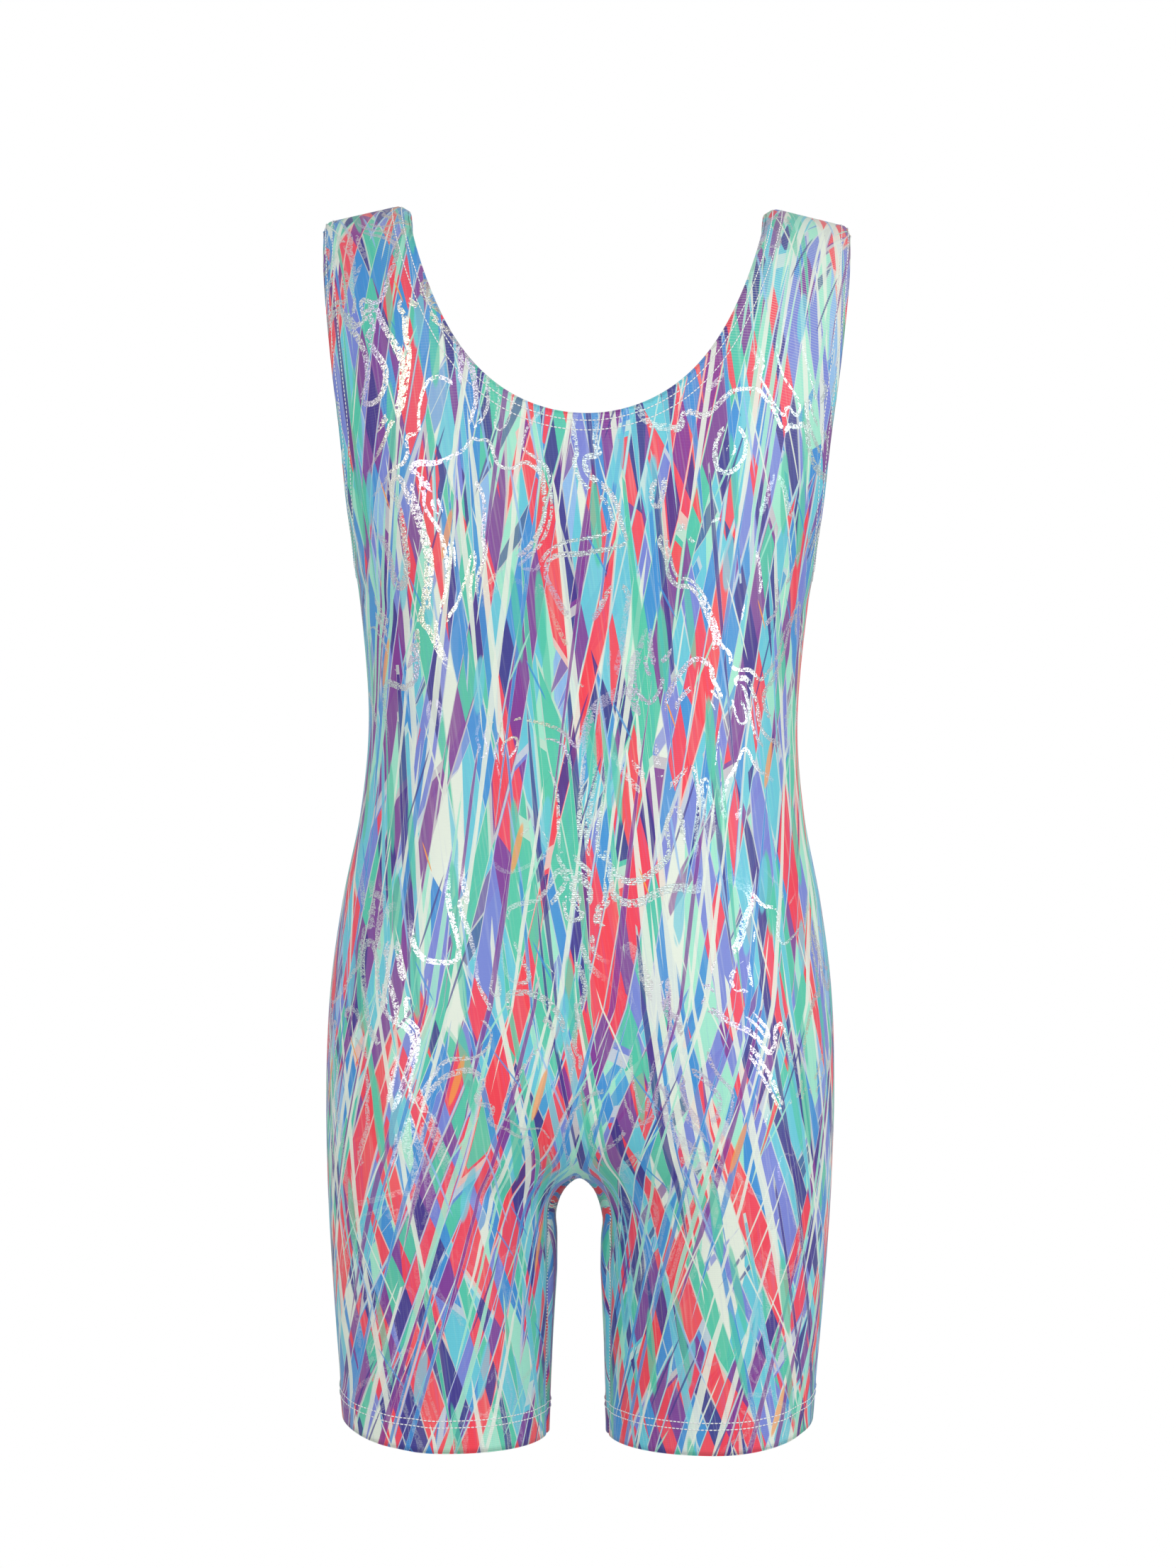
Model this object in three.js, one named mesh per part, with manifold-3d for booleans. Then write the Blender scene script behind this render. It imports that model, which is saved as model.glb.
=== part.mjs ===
import * as THREE from 'three';
import Module from 'manifold-3d';

// Gymnastics jumpsuit: a sleeveless one-piece suit with wide straps and legs to mid-thigh, in
// stretch cloth, standing hollow in the form that it has when it is worn.
// Millimetres. +Z is up, the front faces -Y, +X is the wearer's left.
// The origin lies midway between the two straps, at the height where the shoulders carry them.
//
// The suit has two panels, front and back, that meet at the shoulder seams, the side seams and one
// inseam that runs up one leg and down the other. The neck, the armholes and the leg hems are
// turned in, and each turned edge is a thin ring of its own behind its panel.
//
// A panel is worked out row by row. A row runs from the side seam round to the centre line, or to
// the inseam on a leg, and its points are spread evenly along its length. The right half is made
// and mirrored.

// Cloth and seams
const CLOTH = 1.2;
const SEAM_GAP = 0.3;
const TURN = 1.0;
const EDGE_TURN_WIDTH = 9;
const HEM_TURN_WIDTH = 18;

// Heights
const SHOULDER_BASE = -100;
const SHOULDER_RISE = 105;
const CREST_REACH = SHOULDER_RISE * Math.PI / 2;
const UNDERARM = -197;
const WAIST_TO_CROTCH_TOP = -475;
const CROTCH_OUTER = -545;
const SEAM_APEX = -539.3;
const SEAM_FOOT = -561;
const HEM = -682;

// Strap: how fast its top falls towards the shoulder point
const STRAP_FALL = 0.22;
const STRAP_FALL_FROM = 98;
const STRAP_FALL_HEIGHT = 100;

// Inseam, as it lies on a leg
const SEAM_Y = -24;
const SEAM_X_FOOT = 16.8;
const SEAM_X_HEM = 20.8;
const BACK_DIP = 2;

// How the hem's height departs from level, on each side of a leg
const HEM_LIFT = { outer: 7.5, inner: -3, front: -2, back: 1 };

// Openings: neck half width and depth at the front and back, armhole edges as section angles
const NECK = { half: 101, front: 128, back: 140, squeeze: 0.03 };
const ARMHOLE = { frontAngle: 27.5, backAngle: 24, crestAngle: 26, lowerHeight: 97 };
const ARMHOLE_CLEAR = { angle: 16, from: -90, to: -40 };
const ARMHOLE_TURN_ANGLE = 5.4;

// Cutters for the openings: how far they reach past the cloth, and where they close up
const CUTTER_REACH = { inward: 25, outward: 15 };
const NECK_CUTTER = { inside: [0, 0, -60], outside: [0, 0, 400] };
const ARMHOLE_CUTTER = { inside: [118, 0, -110], outside: [200, 0, -100] };

// Level sections of the body: half width at the side seam, depth of the front and back, and the
// distance from the centre line to the deepest line, which is 0 above the hips and moves out to
// the middle of each leg below them
const SECTIONS = [
  { z: 5, half: 162, front: 82, back: 82, crown: 0 },
  { z: -50, half: 157.5, front: 82, back: 84, crown: 0 },
  { z: -110, half: 150, front: 84, back: 86, crown: 0 },
  { z: -158, half: 140.5, front: 86, back: 86, crown: 0 },
  { z: -197, half: 130, front: 84, back: 83, crown: 0 },
  { z: -242, half: 123.6, front: 79, back: 75, crown: 0 },
  { z: -290, half: 120.8, front: 75, back: 69, crown: 0 },
  { z: -338, half: 125, front: 76, back: 73, crown: 0 },
  { z: -386, half: 134.4, front: 80, back: 85, crown: 0 },
  { z: -434, half: 140.8, front: 83, back: 95, crown: 25 },
  { z: -482, half: 142.8, front: 82, back: 98, crown: 50 },
  { z: -540, half: 141.7, front: 78, back: 94, crown: 72 },
  { z: -602, half: 138.2, front: 69, back: 78, crown: 75 },
  { z: -682, half: 132.2, front: 60, back: 62, crown: 74 },
];
const SQUARENESS = 0.04;

// Lengths of the curve handles that lead a row from the deepest line to the inseam
const HANDLES = {
  front: { seam: 24, crownLeg: 24, crownApex: 24 },
  back: { seam: 44, crownLeg: 36, crownApex: 42 },
};
const SEAM_TANGENT = { inward: 0.39, backward: 0.92, downward: 0.35 };

// The crotch is eased into one soft saddle: a place, the reach of full and of no easing, passes
const SADDLE = {
  y: 20, z: -525, full: 45, none: 115, legNone: -595, legFull: -552, passes: 4, strength: 0.6,
};

// Mesh density
const COLUMNS = 9;
const LEG_ROWS = 5;
const ARCH_ROWS = 4;
const CROTCH_ROWS = 6;
const TRUNK_ROWS = 13;
const SHOULDER_ROWS = 9;
const FINE_STEPS = 24;
const EDGE_POINTS = 14;
const SLIVER = 0.02;

const FRONT = { name: 'front', sign: -1 };
const BACK = { name: 'back', sign: 1 };

const lerp = (a, b, t) => a + (b - a) * t;
const radians = THREE.MathUtils.degToRad;
const smooth = THREE.MathUtils.smoothstep;

// One column of the section table at height z, as a smooth curve through its values
function sectionValue(key, z) {
  const last = SECTIONS.length - 1;
  const level = THREE.MathUtils.clamp(z, SECTIONS[last].z, SECTIONS[0].z);
  let i = 0;
  while (i < last - 1 && level < SECTIONS[i + 1].z) i += 1;
  const slope = (a, b) => (SECTIONS[b][key] - SECTIONS[a][key]) / (SECTIONS[b].z - SECTIONS[a].z);
  const tangent = (k) => {
    if (k === 0) return slope(0, 1);
    if (k === last) return slope(last - 1, last);
    const above = SECTIONS[k - 1].z - SECTIONS[k].z;
    const below = SECTIONS[k].z - SECTIONS[k + 1].z;
    return (slope(k - 1, k) * below + slope(k, k + 1) * above) / (above + below);
  };
  const span = SECTIONS[i + 1].z - SECTIONS[i].z;
  const t = (level - SECTIONS[i].z) / span;
  const t2 = t * t;
  const t3 = t2 * t;
  return (2 * t3 - 3 * t2 + 1) * SECTIONS[i][key] + (t3 - 2 * t2 + t) * span * tangent(i)
    + (3 * t2 - 2 * t3) * SECTIONS[i + 1][key] + (t3 - t2) * span * tangent(i + 1);
}

// The section at a height: its sizes, with the depth of one side
function sectionAt(side, z) {
  return {
    half: sectionValue('half', z),
    depth: sectionValue(side.name, z),
    crown: Math.max(0, sectionValue('crown', z)),
  };
}

// A point of the outer form between the side seam (angle 0) and the deepest line (90 degrees).
// The reach is measured up the body from the shoulder base; above it the form closes over the
// shoulder in a quarter circle.
function bodyPoint(side, reach, angle) {
  const bend = Math.max(0, reach) / SHOULDER_RISE;
  const level = SHOULDER_BASE + (reach > 0 ? SHOULDER_RISE * Math.sin(bend) : reach);
  const { half, depth, crown } = sectionAt(side, level);
  const swell = 1 + SQUARENESS * Math.sin(2 * angle) ** 2;
  const x = crown + (half - crown) * Math.cos(angle) * swell;
  const y = side.sign * depth * Math.cos(bend) * Math.sin(angle) * swell;
  const fall = STRAP_FALL * Math.max(0, x - STRAP_FALL_FROM) * smooth(reach, -STRAP_FALL_HEIGHT, 0);
  return new THREE.Vector3(x, y, level - fall);
}

function bodyNormal(side, reach, angle) {
  const step = 0.01;
  const r = Math.min(reach, CREST_REACH - step);
  const up = bodyPoint(side, r + step, angle).sub(bodyPoint(side, r - step, angle));
  const round = bodyPoint(side, r, angle + step / 100).sub(bodyPoint(side, r, angle - step / 100));
  const normal = round.cross(up).multiplyScalar(side.sign).normalize();
  if (reach > CREST_REACH - 1) normal.setY(0).normalize();
  return normal;
}

// Lift of a leg's lower edge for a point of a leg row, fading out at the foot of the inseam arch
function hemLift(point, outerZ) {
  const fade = 1 - smooth(outerZ, HEM, SEAM_FOOT);
  const across = point.x - sectionValue('crown', outerZ);
  const length = Math.hypot(across, point.y) || 1;
  const sideways = across > 0 ? HEM_LIFT.outer : HEM_LIFT.inner;
  const forwards = point.y < 0 ? HEM_LIFT.front : HEM_LIFT.back;
  return fade * (sideways * (across / length) ** 2 + forwards * (point.y / length) ** 2);
}

// The row's inner stretch: a cubic curve from the deepest line to the centre line or the inseam
function innerStretch(crownPoint, crownHandle, inner, innerHandle) {
  const curve = new THREE.CubicBezierCurve3(
    crownPoint,
    crownPoint.clone().setX(crownPoint.x - crownHandle),
    inner.clone().add(innerHandle),
    inner,
  );
  return curve.getPoints(FINE_STEPS).slice(1);
}

function finePoints(side, row) {
  const start = radians(ARMHOLE_CLEAR.angle) * smooth(row.reach, ARMHOLE_CLEAR.from, ARMHOLE_CLEAR.to);
  const points = [];
  for (let i = 0; i <= FINE_STEPS; i += 1) {
    points.push(bodyPoint(side, row.reach, lerp(start, Math.PI / 2, i / FINE_STEPS)));
  }
  const crownPoint = points[points.length - 1];
  if (row.inner) {
    const { inner, crownHandle, innerHandle } = row.inner(side, crownPoint);
    points.push(...innerStretch(crownPoint, crownHandle, inner, innerHandle));
  }
  if (row.lifted) {
    const outerZ = SHOULDER_BASE + row.reach;
    points.forEach((p) => { p.z += hemLift(p, outerZ); });
  }
  return points;
}

// Spreads COLUMNS + 1 points evenly along a row
function evenPoints(points) {
  const lengths = [0];
  for (let i = 1; i < points.length; i += 1) {
    lengths.push(lengths[i - 1] + points[i].distanceTo(points[i - 1]));
  }
  const total = lengths[lengths.length - 1];
  const even = [];
  let k = 1;
  for (let j = 0; j <= COLUMNS; j += 1) {
    const target = total * j / COLUMNS;
    while (k < points.length - 1 && lengths[k] < target) k += 1;
    const t = (target - lengths[k - 1]) / (lengths[k] - lengths[k - 1]);
    even.push(points[k - 1].clone().lerp(points[k], t));
  }
  return even;
}

// A leg row: its inner end lies on the inseam
function legRow(z) {
  return {
    reach: z - SHOULDER_BASE,
    lifted: true,
    inner: (side) => {
      const seamX = lerp(SEAM_X_HEM, SEAM_X_FOOT, (z - HEM) / (SEAM_FOOT - HEM));
      const handle = HANDLES[side.name];
      const towards = new THREE.Vector3(-SEAM_TANGENT.inward, SEAM_TANGENT.backward, 0);
      return {
        inner: new THREE.Vector3(seamX, SEAM_Y, z),
        crownHandle: handle.crownLeg,
        innerHandle: towards.multiplyScalar(side.sign * handle.seam),
      };
    },
  };
}

// A row in the arch of the inseam, which its inner end climbs to the apex on the centre line
function archRow(t) {
  const climb = t * Math.PI / 2;
  return {
    reach: lerp(SEAM_FOOT, CROTCH_OUTER, t) - SHOULDER_BASE,
    inner: (side) => {
      const handle = HANDLES[side.name];
      const towards = new THREE.Vector3(
        -SEAM_TANGENT.inward * Math.cos(climb),
        SEAM_TANGENT.backward,
        -SEAM_TANGENT.downward * Math.sin(climb),
      );
      return {
        inner: new THREE.Vector3(
          SEAM_X_FOOT * Math.cos(climb),
          SEAM_Y,
          lerp(SEAM_FOOT, SEAM_APEX, Math.sin(climb)),
        ),
        crownHandle: lerp(handle.crownLeg, handle.crownApex, t),
        innerHandle: towards.multiplyScalar(side.sign * handle.seam * Math.cos(climb)),
      };
    },
  };
}

// The centre line between the inseam's apex and the top of the crotch
function crotchCentre(side, t) {
  const depth = sectionAt(side, WAIST_TO_CROTCH_TOP).depth;
  if (side === FRONT) {
    const turn = t * Math.PI / 2;
    const rise = WAIST_TO_CROTCH_TOP - SEAM_APEX;
    const y = SEAM_Y - (SEAM_Y + depth) * Math.sin(turn);
    return new THREE.Vector3(0, y, SEAM_APEX + rise * (1 - Math.cos(turn)));
  }
  const lowest = SEAM_APEX - BACK_DIP;
  const rise = WAIST_TO_CROTCH_TOP - lowest;
  const first = -Math.acos(1 - BACK_DIP / rise);
  const lowestY = (SEAM_Y - depth * Math.sin(first)) / (1 - Math.sin(first));
  const turn = lerp(first, Math.PI / 2, t);
  const y = lowestY + (depth - lowestY) * Math.sin(turn);
  return new THREE.Vector3(0, y, lowest + rise * (1 - Math.cos(turn)));
}

function crotchRow(t) {
  return {
    reach: lerp(CROTCH_OUTER, WAIST_TO_CROTCH_TOP, t) - SHOULDER_BASE,
    inner: (side, crownPoint) => ({
      inner: crotchCentre(side, t),
      crownHandle: lerp(HANDLES[side.name].crownApex, crownPoint.x / 3, t),
      innerHandle: new THREE.Vector3(crownPoint.x / 2 * t, 0, 0),
    }),
  };
}

function trunkRow(z) {
  return {
    reach: z - SHOULDER_BASE,
    inner: (side, crownPoint) => ({
      inner: crownPoint.clone().setX(0),
      crownHandle: crownPoint.x / 3,
      innerHandle: new THREE.Vector3(crownPoint.x / 3, 0, 0),
    }),
  };
}

function allRows() {
  const rows = [legRow(HEM), legRow(HEM + HEM_TURN_WIDTH)];
  const legStart = HEM + HEM_TURN_WIDTH;
  for (let i = 1; i <= LEG_ROWS; i += 1) rows.push(legRow(lerp(legStart, SEAM_FOOT, i / LEG_ROWS)));
  for (let i = 1; i <= ARCH_ROWS; i += 1) rows.push(archRow(i / ARCH_ROWS));
  for (let i = 1; i <= CROTCH_ROWS; i += 1) rows.push(crotchRow(i / CROTCH_ROWS));
  for (let i = 1; i <= TRUNK_ROWS; i += 1) {
    rows.push(trunkRow(lerp(WAIST_TO_CROTCH_TOP, SHOULDER_BASE, i / TRUNK_ROWS)));
  }
  for (let i = 1; i <= SHOULDER_ROWS; i += 1) rows.push({ reach: CREST_REACH * i / SHOULDER_ROWS });
  return rows;
}

// The whole form as one shared list of points, with the faces of each region
class Form {
  constructor() {
    this.points = [];
    this.index = new Map();
    this.faces = { front: [], back: [], hemLeft: [], hemRight: [] };
    const rows = allRows();
    [FRONT, BACK].forEach((side) => {
      const grid = rows.map((row) => evenPoints(finePoints(side, row)));
      [1, -1].forEach((mirror) => this.addGrid(side, grid, mirror));
    });
    this.easeSaddle();
    this.normals = this.vertexNormals();
  }

  // Moves the points round the crotch towards their neighbours, and holds the seams
  easeSaddle() {
    const neighbours = this.points.map(() => new Set());
    const behind = new Set(this.faces.back.flat());
    const held = new Set(this.faces.front.flat().filter((k) => behind.has(k)));
    [...this.faces.front, ...this.faces.back].forEach((face) => {
      face.forEach((k) => face.forEach((other) => other !== k && neighbours[k].add(other)));
    });
    const centre = new THREE.Vector3(0, SADDLE.y, SADDLE.z);
    const ease = this.points.map((p, k) => (held.has(k) ? 0
      : SADDLE.strength * (1 - smooth(p.distanceTo(centre), SADDLE.full, SADDLE.none))
        * smooth(p.z, SADDLE.legNone, SADDLE.legFull)));
    for (let pass = 0; pass < SADDLE.passes; pass += 1) {
      const before = this.points.map((p) => p.clone());
      this.points.forEach((p, k) => {
        if (ease[k] === 0) return;
        const mean = new THREE.Vector3();
        neighbours[k].forEach((other) => mean.add(before[other]));
        p.lerp(mean.divideScalar(neighbours[k].size), ease[k]);
      });
    }
  }

  vertex(point, mirror) {
    const key = [point.x * mirror, point.y, point.z].map((v) => Math.round(v * 1000) || 0).join(' ');
    if (!this.index.has(key)) {
      this.index.set(key, this.points.length);
      this.points.push(new THREE.Vector3(point.x * mirror, point.y, point.z));
    }
    return this.index.get(key);
  }

  addGrid(side, grid, mirror) {
    const turned = side.sign * mirror < 0;
    const hem = mirror > 0 ? this.faces.hemLeft : this.faces.hemRight;
    for (let i = 0; i < grid.length - 1; i += 1) {
      for (let j = 0; j < COLUMNS; j += 1) {
        const corners = [grid[i][j], grid[i][j + 1], grid[i + 1][j + 1], grid[i + 1][j]];
        const [a, b, c, d] = corners.map((p) => this.vertex(p, mirror));
        const pair = turned ? [[a, c, b], [a, d, c]] : [[a, b, c], [a, c, d]];
        this.faces[side.name].push(...pair);
        if (i === 0) hem.push(...pair);
      }
    }
  }

  vertexNormals() {
    const normals = this.points.map(() => new THREE.Vector3());
    const edge = new THREE.Vector3();
    [...this.faces.front, ...this.faces.back].forEach(([a, b, c]) => {
      const normal = this.points[b].clone().sub(this.points[a]);
      normal.cross(edge.copy(this.points[c]).sub(this.points[a]));
      [a, b, c].forEach((k) => normals[k].add(normal));
    });
    return normals.map((n) => n.normalize());
  }

  // A closed wall between two depths below the outer form
  wall(faces, near, far) {
    const used = [...new Set(faces.flat())];
    const place = new Map(used.map((k, i) => [k, i]));
    const count = used.length;
    const positions = [near, far].flatMap((depth) => used.flatMap(
      (k) => this.points[k].clone().addScaledVector(this.normals[k], -depth).toArray(),
    ));
    const open = new Map();
    const triangles = [];
    faces.forEach((face) => {
      const [a, b, c] = face.map((k) => place.get(k));
      triangles.push(a, b, c, a + count, c + count, b + count);
      [[a, b], [b, c], [c, a]].forEach(([from, to]) => {
        if (open.has(`${to} ${from}`)) open.delete(`${to} ${from}`);
        else open.set(`${from} ${to}`, [from, to]);
      });
    });
    open.forEach(([from, to]) => {
      triangles.push(to, from, from + count, to, from + count, to + count);
    });
    return { positions, triangles };
  }
}

const wasm = await Module();
wasm.setup();

function solid({ positions, triangles }) {
  return new wasm.Manifold(new wasm.Mesh({
    numProp: 3,
    vertProperties: new Float32Array(positions),
    triVerts: new Uint32Array(triangles),
  }));
}

// The section angle and reach of a point of the form, from its x and z
function locate(side, x, z) {
  const passes = 4;
  const halvings = 40;
  let fall = 0;
  let reach = 0;
  let angle = 0;
  for (let pass = 0; pass < passes; pass += 1) {
    const level = z + fall - SHOULDER_BASE;
    reach = level <= 0 ? level : SHOULDER_RISE * Math.asin(Math.min(1, level / SHOULDER_RISE));
    let low = 0;
    let high = Math.PI / 2;
    for (let i = 0; i < halvings; i += 1) {
      angle = (low + high) / 2;
      if (bodyPoint(side, reach, angle).x > x) low = angle;
      else high = angle;
    }
    fall = STRAP_FALL * Math.max(0, x - STRAP_FALL_FROM) * smooth(reach, -STRAP_FALL_HEIGHT, 0);
  }
  return { side, reach, angle };
}

// Half of the neck edge on one side, from the shoulder seam to the centre, as places on the form
function neckEdge(side, grow) {
  const half = NECK.half + grow;
  const depth = NECK[side.name] + grow;
  const squeeze = side === FRONT ? NECK.squeeze : 0;
  const top = SHOULDER_BASE + SHOULDER_RISE;
  const places = [];
  for (let i = 0; i <= EDGE_POINTS; i += 1) {
    const turn = i / EDGE_POINTS * Math.PI / 2;
    const x = half * Math.cos(turn) * (1 - squeeze * Math.sin(2 * turn));
    places.push(locate(side, Math.max(0, x), top - depth * Math.sin(turn)));
  }
  return places;
}

// The armhole edge on one side, from the underarm up to the shoulder seam
function armholeEdge(side, grow) {
  const widen = grow > 0 ? ARMHOLE_TURN_ANGLE : 0;
  const wide = radians(ARMHOLE[`${side.name}Angle`] + widen);
  const crest = radians(ARMHOLE.crestAngle + widen);
  const height = ARMHOLE.lowerHeight + grow;
  const places = [];
  for (let i = 0; i <= EDGE_POINTS; i += 1) {
    const turn = i / EDGE_POINTS * Math.PI / 2;
    const z = UNDERARM - grow + height * (1 - Math.cos(turn));
    places.push({ side, reach: z - SHOULDER_BASE, angle: wide * Math.sin(turn) });
  }
  for (let i = 1; i <= EDGE_POINTS; i += 1) {
    const t = i / EDGE_POINTS;
    places.push({ side, reach: CREST_REACH * t, angle: lerp(wide, crest, smooth(t, 0, 1)) });
  }
  return places;
}

// A closed cutter round a loop of places on the form: it follows the form's normals through the
// cloth and closes at one point inside the body and one outside
function plug(loop, { inside, outside }, mirror) {
  const apexes = [inside, outside].map(([x, y, z]) => new THREE.Vector3(x * mirror, y, z));
  const rings = [-CUTTER_REACH.inward, CUTTER_REACH.outward].map((offset) => loop.map(
    ({ point, normal }) => point.clone().addScaledVector(normal, offset),
  ));
  const count = loop.length;
  const positions = [...rings.flat(), ...apexes].flatMap((p) => p.toArray());
  const triangles = [];
  for (let i = 0; i < count; i += 1) {
    const j = (i + 1) % count;
    triangles.push(i, j, j + count, i, j + count, i + count);
    triangles.push(j, i, 2 * count, i + count, j + count, 2 * count + 1);
  }
  const cutter = solid({ positions, triangles });
  if (cutter.volume() > 0) return cutter;
  return solid({ positions, triangles: triangles.reverse() });
}

function onForm({ side, reach, angle }, mirror = 1) {
  const point = bodyPoint(side, reach, angle);
  const normal = bodyNormal(side, reach, angle);
  const flip = new THREE.Vector3(mirror, 1, 1);
  return { point: point.multiply(flip), normal: normal.multiply(flip) };
}

function neckPlug(grow) {
  const front = neckEdge(FRONT, grow);
  const back = neckEdge(BACK, grow);
  const loop = [
    ...front.map((place) => onForm(place)),
    ...front.slice(0, -1).reverse().map((place) => onForm(place, -1)),
    ...back.slice(1).map((place) => onForm(place, -1)),
    ...back.slice(1, -1).reverse().map((place) => onForm(place)),
  ];
  return plug(loop, NECK_CUTTER, 1);
}

function armholePlug(grow, mirror) {
  const front = armholeEdge(FRONT, grow);
  const back = armholeEdge(BACK, grow);
  const loop = [
    ...front.map((place) => onForm(place, mirror)),
    ...back.slice(1, -1).reverse().map((place) => onForm(place, mirror)),
  ];
  return plug(loop, ARMHOLE_CUTTER, mirror);
}

const PRINT = new THREE.MeshStandardMaterial({ color: 0x9a86a8, roughness: 0.42, metalness: 0 });

// A named piece, without the slivers that its cuts leave
function mesh(name, body, material, shift = 0) {
  const { numProp, vertProperties, triVerts } = body.asOriginal().simplify(SLIVER).getMesh();
  const corners = new Float32Array(vertProperties.length / numProp * 3);
  for (let i = 0; i < corners.length; i += 1) {
    corners[i] = vertProperties[Math.floor(i / 3) * numProp + i % 3];
  }
  const geometry = new THREE.BufferGeometry();
  geometry.setAttribute('position', new THREE.BufferAttribute(corners, 3));
  geometry.setIndex(Array.from(triVerts));
  const piece = new THREE.Mesh(geometry, material);
  piece.name = name;
  piece.position.y = shift;
  return piece;
}

const form = new Form();
const neckHole = neckPlug(0);
const armholes = [1, -1].map((mirror) => armholePlug(0, mirror));
const holes = [neckHole, ...armholes];

function panel(side) {
  const cloth = solid(form.wall(form.faces[side.name], 0, CLOTH));
  const cut = holes.reduce((body, hole) => body.subtract(hole), cloth);
  return mesh(`${side.name}_panel`, cut, PRINT, side.sign * SEAM_GAP / 2);
}

const turnTop = CLOTH + SEAM_GAP;
const everyFace = [...form.faces.front, ...form.faces.back];
const turnLayer = solid(form.wall(everyFace, turnTop, turnTop + TURN));

function edgeTurn(name, widePlug, hole) {
  return mesh(name, turnLayer.intersect(widePlug.subtract(hole)), PRINT);
}

function hemTurn(name, faces) {
  return mesh(name, solid(form.wall(faces, turnTop, turnTop + TURN)), PRINT);
}

const jumpsuit = new THREE.Group();
jumpsuit.add(
  panel(FRONT),
  panel(BACK),
  edgeTurn('neck_turn', neckPlug(EDGE_TURN_WIDTH), neckHole),
  edgeTurn('armhole_turn_left', armholePlug(EDGE_TURN_WIDTH, 1), armholes[0]),
  edgeTurn('armhole_turn_right', armholePlug(EDGE_TURN_WIDTH, -1), armholes[1]),
  hemTurn('leg_hem_turn_left', form.faces.hemLeft),
  hemTurn('leg_hem_turn_right', form.faces.hemRight),
);

export default jumpsuit;
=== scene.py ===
"""Gymnastics jumpsuit: cloth, turned edges, seams, stitching, stage, lights and camera.

The cloth is worked out from the construction model's sections, on a finer grid, and fitted closer to
the photo at the neck and between the legs. Sizes are millimetres unless a comment says metres, and
the meshes are written in metres.
"""

import functools
import math

import bmesh
import bpy
import numpy as np
from bpy.props import FloatProperty, FloatVectorProperty, IntProperty, PointerProperty
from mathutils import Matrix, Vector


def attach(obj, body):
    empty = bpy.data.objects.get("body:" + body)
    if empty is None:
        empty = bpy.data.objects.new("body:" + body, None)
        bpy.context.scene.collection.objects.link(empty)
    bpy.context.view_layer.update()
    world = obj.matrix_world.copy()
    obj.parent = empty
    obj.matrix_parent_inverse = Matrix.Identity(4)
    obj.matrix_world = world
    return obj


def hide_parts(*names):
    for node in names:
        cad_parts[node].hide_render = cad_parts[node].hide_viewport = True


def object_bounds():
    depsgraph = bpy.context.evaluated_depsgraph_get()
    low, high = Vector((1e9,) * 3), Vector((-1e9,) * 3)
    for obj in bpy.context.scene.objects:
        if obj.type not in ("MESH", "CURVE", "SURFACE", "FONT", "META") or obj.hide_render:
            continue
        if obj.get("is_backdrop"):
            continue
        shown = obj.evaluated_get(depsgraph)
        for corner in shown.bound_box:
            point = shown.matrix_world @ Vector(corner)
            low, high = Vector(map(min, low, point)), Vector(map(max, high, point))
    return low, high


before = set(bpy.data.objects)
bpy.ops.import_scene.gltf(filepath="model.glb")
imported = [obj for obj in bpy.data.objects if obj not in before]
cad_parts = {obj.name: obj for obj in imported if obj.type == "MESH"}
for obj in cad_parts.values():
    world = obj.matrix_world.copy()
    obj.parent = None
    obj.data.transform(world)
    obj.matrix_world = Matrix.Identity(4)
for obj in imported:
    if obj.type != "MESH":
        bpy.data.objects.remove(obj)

CAD_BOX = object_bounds()

bl_info = {
    "name": "Gymnastics jumpsuit",
    "version": (1, 0, 0),
    "blender": (4, 5, 0),
    "location": "3D View > Sidebar > Jumpsuit",
    "description": "Makes the cloth, seams and stitching of a gymnastics jumpsuit, and its stage",
    "category": "Object",
}

MM = 0.001
FRONT, BACK = "front", "back"
SIGN = {FRONT: -1.0, BACK: 1.0}
MIRRORS = {"left": 1, "right": -1}
QUARTER = math.pi / 2

# Heights of the form
SHOULDER_BASE = -100.0
SHOULDER_RISE = 105.0
CREST_REACH = SHOULDER_RISE * QUARTER
UNDERARM = -197.0
CROTCH_TOP = -475.0
CROTCH_OUTER = -545.0
SEAM_APEX = -539.3
SEAM_FOOT = -561.0
HEM = -682.0

# Strap: how fast its top falls towards the shoulder point
STRAP_FALL = 0.22
STRAP_FALL_FROM = 98.0
STRAP_FALL_HEIGHT = 100.0

# Inseam: its place on a leg, at the foot of the arch and at the hem, and how far the back dips under it
SEAM_X_FOOT = 16.8
SEAM_X_HEM = 17.2
SEAM_Y = -24.0
SEAM_Y_HEM = -9.0
BACK_DIP = 2.0

# How the hem's height departs from level, on each side of a leg
HEM_LIFT = {"outer": 7.5, "inner": -3.0, "front": -2.0, "back": 1.0}

# Neck opening: half width, depth, and how its curve departs from an ellipse
NECK_HALF = 101.0
NECK_DEPTH = {FRONT: 129.0, BACK: 140.0}
NECK_SQUEEZE = {FRONT: 0.04, BACK: -0.06}
NECK_TUCK = {FRONT: 0.02, BACK: 0.0}

# Reach above which the neck and the armholes are cut out
NECK_FROM = -60.0
ARMHOLE_FROM = -110.0

# Armholes: width as a section angle at the level of the base of the shoulder and at the crest, height
# of the rounded part, and the strip at the side seam that is left without cloth points
ARMHOLE_ANGLE = {FRONT: 27.5, BACK: 24.0}
ARMHOLE_CREST_ANGLE = 26.0
ARMHOLE_LOWER = 97.0
ARMHOLE_ANGLE_PER_MM = 0.6
ARMHOLE_CLEAR = {"angle": 16.0, "from": -90.0, "to": -40.0}

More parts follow.
